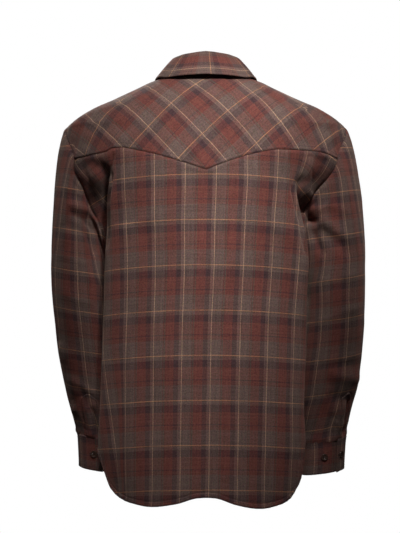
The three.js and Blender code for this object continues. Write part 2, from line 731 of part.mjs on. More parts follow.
// Joins equal points and drops faces without area, so that the lathe's seam and poles close
function weld(geometry) {
  const position = geometry.attributes.position;
  const found = new Map();
  const vertices = [];
  const place = [];
  for (let i = 0; i < position.count; i += 1) {
    const point = [position.getX(i), position.getY(i), position.getZ(i)];
    const key = point.map((value) => Math.round(value * 1e4)).join(' ');
    if (!found.has(key)) {
      found.set(key, vertices.length / 3);
      vertices.push(...point);
    }
    place.push(found.get(key));
  }
  const faces = [];
  for (let i = 0; i < geometry.index.count; i += 3) {
    const [a, b, c] = [0, 1, 2].map((k) => place[geometry.index.getX(i + k)]);
    if (a !== b && b !== c && c !== a) faces.push(a, b, c);
  }
  const clean = new THREE.BufferGeometry();
  clean.setAttribute('position', new THREE.Float32BufferAttribute(vertices, 3));
  clean.setIndex(faces);
  return clean;
}

// A place on a surface and the way it faces, from three points of it
function seatOn(point, nextA, nextB, rise) {
  const outward = nextA.clone().sub(point).cross(nextB.clone().sub(point)).normalize();
  return { centre: point.clone().addScaledVector(outward, rise), outward };
}

const part = new THREE.Group();
part.name = 'shirt_jacket';
const halfCloth = clothWall / 2;
const halfBand = bandWall / 2;

// How far each panel's edges are drawn back: first column, last column, bottom row, top row
const insets = {
  back: [armholeInset, armholeInset, 0, seamInset],
  yoke: [seamInset, seamInset, neckInset, armholeInset],
  front: [0, neckInset, 0, panels.frontLeft.points.map((_, i) => (i <= 6 ? neckInset : seamInset))],
  sleeve: [0, 0, neckInset, seamInset],
};
const mainPieces = [
  ['back', panels.back, insets.back],
  ['yoke', panels.yoke, insets.yoke],
  ['front_left', panels.frontLeft, insets.front],
  ['front_right', panels.frontRight, insets.front],
  ['sleeve_left', panels.sleeveLeft, insets.sleeve],
  ['sleeve_right', panels.sleeveRight, insets.sleeve],
];
mainPieces.forEach(([name, panel, inset]) => {
  part.add(wall(name, panel, halfCloth, colours.cloth, inset));
});

const frontRows = frontLevels.map((_, j) => j);
part.add(laidBand('placket', panels.frontLeft, [0, 1, 2], frontRows, colours.band));

const sleeveLast = panels.sleeveLeft.points[0].length - 1;
const placketRows = steps(sleeveLast - 4, sleeveLast, 4);
[['left', panels.sleeveLeft], ['right', panels.sleeveRight]].forEach(([name, panel]) => {
  const columns = [0, 1, 2].map((k) => placketColumn[name] + k);
  part.add(laidBand(`sleeve_placket_${name}`, panel, columns, placketRows, colours.band));
});

const cuffShares = steps(0, 1 + cuffLap / 262, 36);
[['cuff_left', 1], ['cuff_right', -1]].forEach(([name, side]) => {
  const points = grid(cuffShares, [0, 1], (share, t) => cuffPoint(side, share, t));
  part.add(piece(name, points, halfBand, colours.band, side > 0));
});

const fallTurns = steps(-fallEnd, fallEnd, 38);
const standEnd = [1, 1 + collarLap];
const standTurns = standEnd.map((turn) => -turn).reverse().concat(fallTurns, standEnd);
part.add(piece('collar_stand', grid(standTurns, [0, 0.5, 1], standPoint), halfBand, colours.band, false));
const fallSteps = rollProfile.map((_, k) => k).concat([6, 7, 8]);
part.add(piece('collar', grid(fallTurns, fallSteps, fallPoint), halfBand, colours.band, false));

const placketFace = halfCloth + layerGap + clothWall + layerGap + 0.1;
for (let k = 0; k < frontButtonCount; k += 1) {
  const z = frontButtonTopZ - k * frontButtonStep;
  const at = (reach, level) => {
    const u = (reach * rowKnots[1]) / rowSide('front', 1, level)[1][0];
    const point = bodyPoint('front', u, level);
    point.y -= 1.3;
    return point;
  };
  const seat = seatOn(at(0, z), at(6, z), at(0, z + 6), placketFace);
  part.add(button(`button_front_${k + 1}`, seat, buttonRadius, 3));
}

const standMiddle = standPoint(1, 0.5);
const standSeat = seatOn(standMiddle, standPoint(1, 0.7), standPoint(1.03, 0.5), halfBand + layerGap);
part.add(button('button_collar', standSeat, cuffButtonRadius, 2.6));

[['left', 1], ['right', -1]].forEach(([name, side]) => {
  [['fastened', 0.042], ['spare', 0.916]].forEach(([use, share]) => {
    const here = cuffPoint(side, share, 0.5);
    const up = cuffPoint(side, share, 0.3);
    const on = cuffPoint(side, share + 0.01, 0.5);
    const rise = halfBand + layerGap + 0.2;
    const seat = side > 0 ? seatOn(here, up, on, rise) : seatOn(here, on, up, rise);
    part.add(button(`button_cuff_${name}_${use}`, seat, cuffButtonRadius, 2.6));
  });
});

export default part;
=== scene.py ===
import math

import bpy
import numpy as np
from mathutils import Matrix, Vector, geometry


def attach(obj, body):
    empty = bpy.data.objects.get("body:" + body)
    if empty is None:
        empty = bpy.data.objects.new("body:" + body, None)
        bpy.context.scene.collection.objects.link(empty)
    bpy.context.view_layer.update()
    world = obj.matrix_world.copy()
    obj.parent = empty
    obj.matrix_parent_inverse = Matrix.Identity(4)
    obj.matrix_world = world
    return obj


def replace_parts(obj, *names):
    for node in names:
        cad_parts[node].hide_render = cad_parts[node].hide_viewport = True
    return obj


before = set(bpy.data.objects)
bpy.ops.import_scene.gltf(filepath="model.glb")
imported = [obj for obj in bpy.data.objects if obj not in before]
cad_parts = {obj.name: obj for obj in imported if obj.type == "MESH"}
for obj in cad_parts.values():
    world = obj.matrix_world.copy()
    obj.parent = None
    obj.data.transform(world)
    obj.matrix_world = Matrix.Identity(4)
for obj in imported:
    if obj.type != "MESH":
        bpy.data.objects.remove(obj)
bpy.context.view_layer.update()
scene = bpy.context.scene
print("frame loaded")

# All patterns are worked out in mm and turned into metres when a mesh is made.
# +X is the wearer's left, -Y the front. Side is 1 on the left and -1 on the right.
sideNames = {1: "left", -1: "right"}
cut = {
    "clothWall": 1.6,
    "bandWall": 2.6,
    "shoulderTop": -87,
    "underarm": -345,
    "backArmholeTop": -151,
    "frontArmholeTop": -120,
    "placketWidth": 35,
    "cuffDepth": 62,
    "cuffRound": 262,
    "cuffLap": 30,
    "collarLap": 0.045,
    "neckHalfWidth": 78,
    "neckBack": 11,
    "neckSide": 3,
    "neckFront": -66,
    "yokeEndShare": 0.3,
    "sleeveUpper": -367,
    "sleeveCuff": {1: -670, -1: -675},
    "sleeveTwist": {1: 0.1171, -1: 0.0921},
    "cuffEdgeTurn": {1: 0.235, -1: 0.333},
}

# height, then depth of the middle of the row
backCentre = [
    (14, 46), (8, 54), (0, 64), (-20, 82), (-50, 104), (-87, 121), (-120, 130), (-151, 136),
    (-175, 139), (-230, 141), (-300, 142), (-400, 139), (-500, 134), (-600, 129), (-700, 125),
    (-800, 122),
]
frontCentre = [
    (14, -18), (0, -28), (-20, -43), (-50, -62), (-66, -72), (-87, -86), (-120, -105), (-165, -123),
    (-210, -133), (-260, -141), (-345, -147), (-450, -144), (-600, -137), (-800, -130),
]
# height, ridge x and y, hollow x and y
backRows = {
    1: [
        (-120, 172, 107, 222, 74), (-151, 162, 115, 204, 89), (-175, 166, 112, 184, 84),
        (-200, 171, 108, 180, 76), (-230, 176, 103, 182, 66), (-267, 176, 98, 181, 56),
        (-300, 178, 94, 180, 46), (-345, 181, 90, 180, 40), (-400, 184, 86, 177, 38),
        (-500, 188, 80, 180, 35), (-600, 191, 76, 181, 34), (-670, 195, 72, 184, 32),
        (-720, 192, 70, 183, 31), (-800, 184, 68, 180, 30),
    ],
    -1: [
        (-120, 160, 110, 218, 76), (-151, 150, 118, 200, 91), (-175, 151, 115, 186, 90),
        (-200, 154, 111, 168, 84), (-230, 161, 106, 166, 70), (-267, 172, 101, 168, 58),
        (-300, 180, 95, 172, 48), (-345, 184, 90, 176, 41), (-400, 182, 86, 172, 38),
        (-500, 181, 80, 170, 35), (-600, 177, 76, 168, 34), (-670, 180, 73, 170, 32),
        (-720, 171, 72, 166, 31), (-800, 166, 70, 162, 30),
    ],
}
frontRows = [
    (-120, 176, -88, 217, -70), (-165, 165, -104, 200, -90), (-210, 157, -112, 187, -99),
    (-260, 152, -114, 177, -97), (-310, 150, -110, 173, -80), (-345, 148, -106, 170, -60),
    (-400, 144, -102, 160, -58), (-500, 139, -98, 154, -57), (-600, 134, -96, 151, -57),
    (-670, 131, -95, 149, -57), (-800, 130, -93, 149, -57),
]
shoulderLine = [
    (14, 74, -6), (3, 78, -6), (-7, 105, -6), (-20, 132, -6), (-38, 171, -6), (-59, 218, -6),
    (-75, 244, -6), (-87, 257, -6),
]
sideSeam = [
    (-345, 183, -8), (-360, 177, -8), (-400, 168, -8), (-500, 163, -8), (-670, 164, -8),
    (-800, 163, -8),
]
armholes = {
    ("back", 1): [
        (-87, 257, -6), (-92, 259, 10), (-106, 258, 27), (-120, 252, 40), (-132, 246, 50),
        (-151, 241, 61), (-172, 243, 60), (-200, 228, 53), (-228, 218, 48), (-247, 211, 45),
        (-267, 200, 41), (-300, 191, 31), (-320, 187, 22), (-335, 185, 12), (-342, 184, 4),
        (-345, 183, -8),
    ],
    ("back", -1): [
        (-87, 257, -6), (-92, 259, 10), (-106, 258, 27), (-120, 252, 40), (-132, 245, 50),
        (-151, 240, 61), (-162, 238, 61), (-185, 225, 56), (-215, 198, 48), (-243, 182, 43),
        (-267, 179, 39), (-300, 180, 30), (-320, 182, 22), (-335, 183, 12), (-342, 183, 4),
        (-345, 183, -8),
    ],
    "front": [
        (-87, 257, -6), (-92, 258, -18), (-106, 254, -34), (-120, 248, -48), (-165, 229, -70),
        (-210, 211, -81), (-260, 197, -76), (-300, 190, -60), (-320, 186, -47), (-335, 183, -32),
        (-342, 183, -20), (-345, 183, -8),
    ],
}
# share of the way from the middle to the side, then height
backHem = {
    1: [
        (0, -763), (0.06, -764), (0.21, -775), (0.37, -781), (0.46, -775), (0.51, -765),
        (0.55, -748), (0.58, -722), (0.62, -696), (0.8, -668), (1, -655),
    ],
    -1: [
        (0, -763), (0.06, -764), (0.23, -777), (0.4, -785), (0.49, -779), (0.54, -770),
        (0.58, -753), (0.61, -728), (0.65, -703), (0.8, -673), (1, -655),
    ],
}
frontHem = [
    (0, -772), (0.25, -777), (0.4, -770), (0.52, -748), (0.64, -712), (0.8, -678), (1, -655),
]
yokeSeam = {
    1: [
        (0, -175), (0.16, -163), (0.36, -148), (0.46, -141), (0.58, -134), (0.63, -135),
        (0.68, -141), (0.78, -145), (1, -151),
    ],
    -1: [
        (0, -175), (0.18, -160), (0.38, -146), (0.55, -138), (0.73, -139), (0.87, -143),
        (1, -151),
    ],
}
# height, outer and inner distance from the middle, front and back depth
sleeveRows = {
    1: [
        (-300, 287, 183, -84, 68), (-340, 288, 182, -83, 67), (-400, 287, 182, -81, 62),
        (-454, 283, 179, -81, 52), (-498, 279, 176, -82, 40), (-551, 270, 172, -86, 26),
        (-598, 261, 168, -92, 12), (-637, 250, 163, -97, 0), (-670, 243, 161, -99, -9),
        (-740, 240, 158, -102, -13),
    ],
    -1: [
        (-300, 293, 187, -84, 68), (-340, 297, 187, -84, 67), (-400, 297, 187, -82, 62),
        (-454, 296, 182, -82, 52), (-519, 292, 178, -84, 36), (-577, 286, 177, -90, 20),
        (-619, 275, 180, -96, 6), (-676, 264, 184, -100, -9), (-745, 260, 181, -103, -13),
    ],
}


def smooth(a, b, t):
    s = np.clip((np.asarray(t, float) - a) / (b - a), 0, 1)
    return s * s * (3 - 2 * s)


def mix(a, b, t):
    return a + (b - a) * t


def bell(t, centre, width):
    return np.exp(-(((t - centre) / width) ** 2))


# ridges and dips beside an edge: height, distance from the edge, width
def ridges(off, rows):
    return sum(high * bell(off, place, wide) for high, place, wide in rows)


def unit(vectors):
    return vectors / np.maximum(np.linalg.norm(vectors, axis=-1, keepdims=True), 1e-9)


def lifted(points, normals, lift):
    return points + normals * lift[..., None]


def lengthsAlong(points, axis):
    steps = np.linalg.norm(np.diff(points, axis=axis), axis=-1)
    start = np.zeros_like(np.take(steps, [0], axis))
    return np.concatenate([start, np.cumsum(steps, axis)], axis)


# how far each point of a grid lies from the first and the last point of its line
def fromEnds(points, axis):
    lengths = lengthsAlong(points, axis)
    return lengths, np.take(lengths, [-1], axis) - lengths


def cubic(a, slopeA, b, slopeB, t, step):
    t2, t3 = t * t, t * t * t
    left = (2 * t3 - 3 * t2 + 1) * a + (t3 - 2 * t2 + t) * slopeA * step
    return left + (3 * t2 - 2 * t3) * b + (t3 - t2) * slopeB * step


# one column of a table read between its rows, without overshoot
def readLine(rows, column, where, key=0):
    rows = np.array(rows, float)
    if rows[0, key] > rows[-1, key]:
        rows = rows[::-1]
    k, v = rows[:, key], rows[:, column]
    where = np.asarray(where, float)
    gap = np.diff(k)
    slope = np.diff(v) / gap
    a, b = slope[:-1], slope[1:]
    total = np.where(a + b == 0, 1, a + b)
    inner = np.where(a * b <= 0, 0, 2 * a * b / total)
    tangent = np.concatenate([slope[:1], inner, slope[-1:]])
    i = np.clip(np.searchsorted(k, where) - 1, 0, len(k) - 2)
    t = (where - k[i]) / gap[i]
    inside = cubic(v[i], tangent[i], v[i + 1], tangent[i + 1], np.clip(t, 0, 1), gap[i])
    beyond = np.minimum(t, 0) * tangent[i] + np.maximum(t - 1, 0) * tangent[i + 1]
    return inside + beyond * gap[i]


# values along a line, read at given running lengths
def readAlong(values, lengths, where):
    return np.stack([np.interp(where, lengths, column) for column in values.T], -1)


# a grid read between its columns and rows; its first axis may close on itself
def readGrid(grid, column, row, loop=False):
    n, m = grid.shape[:2]
    column = column % n if loop else np.clip(column, 0, n - 1)
    row = np.clip(row, 0, m - 1)
    i = np.minimum(np.floor(column).astype(int), n - 1 if loop else n - 2)
    j = np.minimum(np.floor(row).astype(int), m - 2)
    after = (i + 1) % n
    partI, partJ = column - i, row - j
    if grid.ndim == 3:
        partI, partJ = partI[..., None], partJ[..., None]
    low = mix(grid[i, j], grid[after, j], partI)
    return mix(low, mix(grid[i, j + 1], grid[after, j + 1], partI), partJ)


def edgeAt(half, side, z):
    hole = armholes["front"] if half == "front" else armholes["back", side]
    point = []
    for column in (1, 2):
        lines = (shoulderLine, hole, sideSeam)
        upper, middle, lower = (readLine(rows, column, z) for rows in lines)
        line = np.where(z >= cut["shoulderTop"], upper, middle)
        point.append(np.where(z <= cut["underarm"], lower, line))
    return side * point[0], point[1]


# how a row of cloth rounds off towards the shoulder: heights where it starts and ends, then
# its ridge and hollow as shares of the reach and of the depth
shoulderRows = {"fade": (-122, -84), "ridge": (0.72, 0.76), "hollow": (0.93, 0.44)}
crownShares = (0.5, 0.16)
rowKnots = np.array([-1, -0.8, -0.62, -0.34, 0, 0.34, 0.62, 0.8, 1])


# five points of a row of cloth on one side of the body
def rowPoints(half, side, z):
    centre = backCentre if half == "back" else frontCentre
    rows = backRows[side] if half == "back" else frontRows
    middle = readLine(centre, 1, z)
    top = np.maximum(z, cut["shoulderTop"])
    topX, topY = edgeAt(half, side, top)
    depth = readLine(centre, 1, top)
    blend = smooth(*shoulderRows["fade"], z)
    found = []
    for column, (wide, deep) in ((1, shoulderRows["ridge"]), (3, shoulderRows["hollow"])):
        x = mix(readLine(rows, column, z), wide * np.abs(topX), blend)
        y = mix(readLine(rows, column + 1, z), mix(topY, depth, deep), blend)
        found.append((side * x, y))
    ridge, hollow = found
    crown = (ridge[0] * crownShares[0], mix(middle, ridge[1], crownShares[1]))
    row = [(0 * middle, middle), crown, ridge, hollow, edgeAt(half, side, z)]
    return np.array(row).transpose(0, 2, 1)


# a point of the body's cloth: across runs from -1 at the right side to 1 at the left
def bodyPoint(half, across, z):
    across, z = np.broadcast_arrays(np.asarray(across, float), np.asarray(z, float))
    a, h = across.ravel(), z.ravel()
    points = np.concatenate([rowPoints(half, -1, h)[:0:-1], rowPoints(half, 1, h)])
    gap = np.diff(rowKnots)
    slope = np.diff(points, axis=0) / gap[:, None, None]
    before, after = gap[:-1, None, None], gap[1:, None, None]
    inner = (slope[:-1] * after + slope[1:] * before) / (before + after)
    tangent = np.concatenate([slope[:1], inner, slope[-1:]])
    i = np.clip(np.searchsorted(rowKnots, a) - 1, 0, len(gap) - 1)
    n = np.arange(len(a))
    step = gap[i][:, None]
    t = (a - rowKnots[i])[:, None] / step
    xy = cubic(points[i, n], tangent[i, n], points[i + 1, n], tangent[i + 1, n], t, step)
    return np.concatenate([xy, h[:, None]], 1).reshape(across.shape + (3,))


def sidedLine(tables, u):
    left, right = (readLine(tables[side], 1, np.abs(u)) for side in (1, -1))
    return np.where(u >= 0, left, right)


def hemHeight(half, u):
    return readLine(frontHem, 1, np.abs(u)) if half == "front" else sidedLine(backHem, u)


# the place across a row where the cloth is a given distance from the middle
def acrossAt(half, reach, z):
    low, high = np.zeros_like(reach), np.ones_like(reach)
    for _ in range(26):
        middle = (low + high) / 2
        near = bodyPoint(half, middle, z)[..., 0] < reach
        low, high = np.where(near, middle, low), np.where(near, high, middle)
    return (low + high) / 2


neckShare = np.linspace(0, 1, 21)
backNeckZ = mix(cut["neckBack"], cut["neckSide"], neckShare**2)
frontNeckZ = mix(cut["neckSide"], cut["neckFront"], np.sin(math.pi / 2 * neckShare) ** 1.4)
frontNeckX = cut["neckHalfWidth"] * np.cos(math.pi / 2 * neckShare)
backNeck = np.stack([neckShare, neckShare, backNeckZ], 1)
frontNeck = np.stack([neckShare, acrossAt("front", frontNeckX, frontNeckZ), frontNeckZ], 1)
yokeFrontU, yokeFrontZ = (float(readLine(frontNeck, k, cut["yokeEndShare"])) for k in (1, 2))


def frontTop(u):
    u = np.abs(u)
    line = mix(yokeFrontZ, cut["frontArmholeTop"], (u - yokeFrontU) / (1 - yokeFrontU))
    return np.where(u <= yokeFrontU, readLine(frontNeck, 2, u, key=1), line)


# outward normals of a grid whose first axis may close on itself
def normalsOf(points, loop, flip):
    a = np.gradient(points, axis=0)
    if loop:
        a = np.roll(points, -1, 0) - np.roll(points, 1, 0)
    normal = unit(np.cross(a, np.gradient(points, axis=1)))
    return -normal if flip else normal


# soft even noise: a lattice of values, read with smooth steps
noiseLattice = np.random.default_rng(11).uniform(-1, 1, (24, 24, 24))


def softNoise(points, size, shift=0.0):
    place = np.asarray(points) / size + shift
    base = np.floor(place).astype(int)
    part = place - base
    part = part * part * (3 - 2 * part)
    total = 0
    for corner in range(8):
        d = np.array([corner & 1, corner >> 1 & 1, corner >> 2 & 1])
        weight = np.prod(np.where(d, part, 1 - part), axis=-1)
        i, j, k = np.moveaxis((base + d) % len(noiseLattice), -1, 0)
        total = total + weight * noiseLattice[i, j, k]
    return total


# folds as lines seen square to their face: face, x0, z0, x1, z1, width, height, and for a
# bent or lipped one its bend and lip
def foldLift(folds, points, normals):
    lift = np.zeros(points.shape[:-1])
    for face, x0, z0, x1, z1, wide, high, *shape in folds:
        bend, lip = shape or (0, 0)
        dx, dz = x1 - x0, z1 - z0
        long = math.hypot(dx, dz)
        px, pz = points[..., 0] - x0, points[..., 2] - z0
        along = (px * dx + pz * dz) / long / long
        arch = bend * 4 * along * (1 - along)
        off = ((px * dz - pz * dx) / long - arch) / wide
        ends = np.where((along > 0) & (along < 1), 1 - (2 * along - 1) ** 4, 0)
        if lip:
            ends = ends * smooth(0, 0.3, along) ** 0.5
        facing = smooth(0.05, 0.5, face * normals[..., 1])
        lift += facing * ends * bell(off, 0, 1) * (high + lip * off)
    return lift


# hollows filled or deepened straight along Y: face, x, z, half width, half height, amount
def drapeLift(spots, points, normals):
    lift = np.zeros(points.shape[:-1])
    for face, x, z, wide, tall, amount in spots:
        near = bell(points[..., 0], x, wide) * bell(points[..., 2], z, tall)
        lift += face * amount * near * smooth(-0.5, 0, face * normals[..., 1])
    return lift[..., None] * (0.0, 1.0, 0.0)


bodyDrapes = [
    (1, 203, -190, 18, 30, 18),
    (1, 184, -226, 7, 28, -15),
    (1, 188, -264, 8, 24, -14),
    (1, -178, -252, 8, 18, -10),
    (1, -177, -212, 13, 26, 12),
]
sleeveDrapes = [
    (1, 198, -290, 26, 70, -17),
    (1, -190, -275, 28, 70, -19),
    (1, -193, -262, 13, 8, -9),
]
bodyFolds = [
    (1, 138, -430, 141, -760, 20, 3.5),
    (1, 100, -520, 96, -780, 22, -2.5),
    (1, -132, -470, -136, -770, 20, 3),
    (1, -92, -560, -84, -780, 20, -2),
    (1, -186, -150, -188, -232, 9, 5),
    (1, 40, -240, 62, -520, 26, -2),
    (1, -60, -230, -40, -470, 26, -2),
    (-1, 90, -300, 70, -760, 24, 3),
    (-1, -88, -300, -72, -760, 24, 3),
    (-1, 120, -250, 60, -420, 20, -3),
    (-1, -122, -250, -62, -420, 20, -3),
]
sleeveFolds = [
    (1, 254, -234, 212, -248, 8, 7),
    (1, 262, -268, 222, -290, 10, -4),
    (1, 274, -488, 234, -592, 13, 5),
    (1, 262, -520, 214, -610, 12, -3.5),
    (1, 244, -618, 227, -690, 6, -4.5),
    (1, 252, -600, 238, -690, 6, 3),
    (1, -196, -252, -262, -300, 10, 5),
    (1, -206, -276, -268, -330, 11, -4),
    (1, -300, -562, -226, -548, 13, 5),
    (1, -296, -602, -224, -590, 12, -4),
    (1, -236, -622, -230, -690, 6, -4),
    (-1, 280, -430, 200, -500, 14, -5),
    (-1, 280, -470, 200, -540, 12, 4),
    (-1, -290, -430, -205, -500, 14, -5),
    (-1, -290, -470, -205, -540, 12, 4),
]
# smaller creases, only in the cloth's look
bodyCreases = [
    (1, 165, -140, 176, -190, 3.5, -4, 0, 2),
    (1, 170, -172, 181, -236, 5, -8, 0, 2),
    (1, 180, -215, 181, -320, 6, -6, 0, 1.5),
    (1, 226, -160, 206, -212, 5, -2.5, 2, 1.5),
    (1, 196, -176, 190, -232, 5, 2.5, 2, 1),
    (1, -152, -140, -157, -204, 3.5, -4, 0, -2),
    (1, -152, -190, -171, -268, 5, -8, 0, -2),
    (1, -168, -252, -182, -330, 6, -6, 0, -1.5),
    (1, -192, -166, -194, -214, 4, -3.5, 0, 1.5),
    (1, -168, -690, -164, -752, 6, 4.5, 2, -2),
    (1, 172, -648, 165, -740, 7, 3.5, -3, 2),
    (1, 148, -496, 141, -756, 6, 0, 2, 2.4),
    (1, 168, -300, 70, -262, 13, 1.6, 6, 1.2),
    (1, -172, -318, -86, -270, 13, 1.5, -6, -1.2),
    (1, 60, -185, 66, -330, 11, 1.2, 3, 0.5),
    (1, -96, -170, -88, -300, 12, 1.3, -3, -0.6),
    (1, 20, -560, 26, -770, 16, 1.6, 4, 0.8),
    (1, -30, -600, -24, -775, 14, -1.4, -3, 0.6),
    (1, 160, -620, 158, -740, 9, 1.8, 2, 1.2),
    (1, -158, -600, -150, -760, 8, 2.0, -3, -1.4),
    (-1, 150, -290, 64, -250, 13, 1.6, 5, 1.2),
    (-1, -150, -290, -64, -250, 13, 1.6, -5, -1.2),
    (-1, 110, -520, 118, -740, 14, 1.8, 4, 0.8),
    (-1, -112, -540, -104, -750, 14, 1.8, -4, 0.8),
]
sleeveCreases = [
    (1, 252, -248, 212, -262, 6, -3, -4, 0.5),
    (1, 240, -196, 216, -236, 4, -3, 2, 1.5),
    (1, 230, -262, 206, -286, 5, -4, 3, 1.5),
    (1, 224, -282, 204, -330, 6, -3.5, 3, 1.5),
    (1, -178, -256, -212, -264, 5, -5, -4, 1),
    (1, -184, -236, -222, -244, 6, 3.5, -3, 0),
    (1, -196, -276, -216, -330, 7, -4, -3, -1.5),
    (1, -240, -196, -214, -240, 6, -2.5, 2, 1),
    (1, 221, -608, 211, -672, 4, 3),
    (1, 245, -606, 233, -664, 7, 3.2),
    (1, 213, -608, 203, -672, 4.5, -4.5),
    (1, -268, -596, -256, -676, 4, -7),
    (1, -258, -600, -247, -672, 4, 2.5),
    (1, 268, -205, 222, -222, 6, 1.8, 3, 1.6),
    (1, 280, -330, 214, -352, 9, 1.4, 4, 1.2),
    (1, 276, -392, 206, -420, 10, 1.5, -4, 1.2),
    (1, 262, -556, 196, -600, 7, 1.8, 4, 1.6),
    (1, 236, -560, 186, -640, 7, 1.6, -3, 1.2),
    (1, -204, -230, -262, -250, 7, 1.8, -3, 1.6),
    (1, -288, -352, -204, -372, 9, 1.5, 4, 1.2),
    (1, -292, -420, -200, -452, 10, 1.6, -5, 1.3),
    (1, -292, -506, -204, -516, 9, 1.6, 4, 1.3),
    (1, -284, -636, -236, -640, 7, 1.6, 3, 1.2),
    (-1, 276, -300, 204, -330, 10, 1.8, 4, 1.2),
    (-1, -280, -310, -208, -338, 10, 1.8, -4, 1.2),
    (-1, 262, -580, 190, -620, 9, 1.8, 4, 1.2),
    (-1, -276, -590, -200, -630, 9, 1.8, -4, 1.2),
]
print("pattern tables ready")

# the plaid's repeats in mm, and where its lines lie on each piece
plaid = {
    "warpRepeat": 56,
    "weftRepeat": 81,
    # height, x of one cream warp line, warp repeat as it hangs
    "backWarp": [
        (-100, -18.6, 56), (-186, -18.2, 55.6), (-266, -15.5, 54), (-346, -14, 52.8),
        (-462, -9, 51.8), (-766, -4, 51.4),
    ],
    "backWeft": -184.1,
    "weftDrop": 11,
    "armholeTurn": 0.38,
    "sideTurn": 0.19,
    "sleeveWeft": {
        1: [
            (-60, -2.9), (-135, -2), (-210, -1), (-284, 0), (-358, 1), (-431, 2), (-506, 3),
            (-576, 4), (-646, 5), (-716, 6),
        ],
        -1: [
            (-60, -2), (-138, -1), (-216, 0), (-293, 1), (-372, 2), (-446, 3), (-519, 4),
            (-586, 5), (-652, 6), (-718, 7),
        ],
    },
    # height, then how far one cream line lies behind the sleeve's outermost line
    "sleeveWarp": {
        1: [
            (-100, 150), (-160, 147), (-228, 139), (-290, 126), (-367, 108), (-430, 104),
            (-503, 95), (-550, 87), (-595, 81), (-700, 74),
        ],
        -1: [
            (-100, 113), (-163, 112), (-220, 111), (-289, 101), (-332, 90), (-382, 87),
            (-437, 81), (-480, 75), (-560, 68), (-700, 60),
        ],
    },
    "dropReach": 185,  # where the weft has sunk by weftDrop
    # the turn into the armhole: shares across and heights where it sets in, the distance
    # from the middle beyond which the weft sinks too, and how steeply
    "turnAcross": (0.6, 0.86),
    "turnHeights": (-330, -240),
    "turnReach": 165,
    "turnSink": 0.9,
    "sideTurnBelow": -500,
    "sideTurnAcross": (146, 166),
    "weftHang": 80.8,  # the weft repeat as it hangs
    "sleeveTilt": 9,  # rise of the weft on the arm's outer side, and its drop on the inner
    "frontWarp": 9,
    "frontWeft": -199.1,
}


# running length of a row of cloth from the middle, for the plaid
arcGrid = {"top": 15, "bottom": -790, "columns": 161, "rows": 90}
arcHeights = np.linspace(arcGrid["top"], arcGrid["bottom"], arcGrid["rows"])
arcAcross = np.linspace(-1, 1, arcGrid["columns"])
arcTables = {}
for half in ("back", "front"):
    length = lengthsAlong(bodyPoint(half, arcAcross[:, None], arcHeights[None, :]), 0)
    arcTables[half] = length - length[len(length) // 2]


def bodyCloth(half, across, z):
    column = (across + 1) / 2 * (arcGrid["columns"] - 1)
    row = (arcGrid["top"] - z) / (arcGrid["top"] - arcGrid["bottom"]) * (arcGrid["rows"] - 1)
    arc = readGrid(arcTables[half], column, row)
    if half == "front":
        warp = (arc - plaid["frontWarp"]) / plaid["warpRepeat"]
        return np.stack([warp, (plaid["frontWeft"] - z) / plaid["weftHang"]], -1)
    line, repeat = (readLine(plaid["backWarp"], k, z) for k in (1, 2))
    # the cloth turns where it is drawn into the armhole, and low down at the side
    turned = smooth(*plaid["turnAcross"], np.abs(across)) * smooth(*plaid["turnHeights"], z)
    turned = plaid["armholeTurn"] * turned
    drop = plaid["weftDrop"] * (arc / plaid["dropReach"]) ** 2
    drop += turned * plaid["turnSink"] * np.maximum(np.abs(arc) - plaid["turnReach"], 0)
    arc = arc + np.sign(arc) * turned * (cut["backArmholeTop"] - z)
    below = np.maximum(plaid["sideTurnBelow"] - z, 0)
    arc = arc + plaid["sideTurn"] * below * smooth(*plaid["sideTurnAcross"], arc)
    return np.stack([(line - arc) / repeat, (plaid["backWeft"] - drop - z) / plaid["weftHang"]], -1)


# opens a curved grid out flat: every edge and diagonal is drawn to its real length
def flatten(points, start, rounds, ease=0.12):
    flat = start.copy()
    n, m = flat.shape[:2]
    pairs = []
    for di, dj in ((1, 0), (0, 1), (1, 1), (1, -1)):
        a = (slice(0, n - di), slice(max(-dj, 0), m - max(dj, 0)))
        b = (slice(di, n), slice(max(dj, 0), m - max(-dj, 0)))
        pairs.append((a, b, np.linalg.norm(points[b] - points[a], axis=-1)))
    for _ in range(rounds):
        move = np.zeros_like(flat)
        for a, b, rest in pairs:
            d = flat[b] - flat[a]
            size = np.maximum(np.linalg.norm(d, axis=-1), 1e-6)
            push = d * ((size - rest) / size)[..., None]
            move[a] += push
            move[b] -= push
        flat += move * ease
    return flat


def addPiece(name, vertices, faces, material):
    mesh = bpy.data.meshes.new(name)
    mesh.from_pydata((vertices * 0.001).tolist(), [], faces)
    mesh.polygons.foreach_set("use_smooth", np.ones(len(faces), bool))
    mesh.materials.append(material)
    piece = bpy.data.objects.new(name, mesh)
    scene.collection.objects.link(piece)
    return piece


def gridQuads(index):
    corners = [index[:-1, :-1], index[1:, :-1], index[1:, 1:], index[:-1, 1:]]
    return np.stack(corners, -1).reshape(-1, 4)


# the border of a grid as closed lines
def rimLines(index, loop):
    if loop:
        return [index[:, 0], index[::-1, -1]]
    sides = [index[:, 0], index[-1, 1:], index[-2::-1, -1], index[0, -2::-1]]
    return [np.concatenate(sides)]


clothFaces = {}  # the outer face of each piece and its normals, kept for the sewing
rimBulge = 0.75  # of half the wall


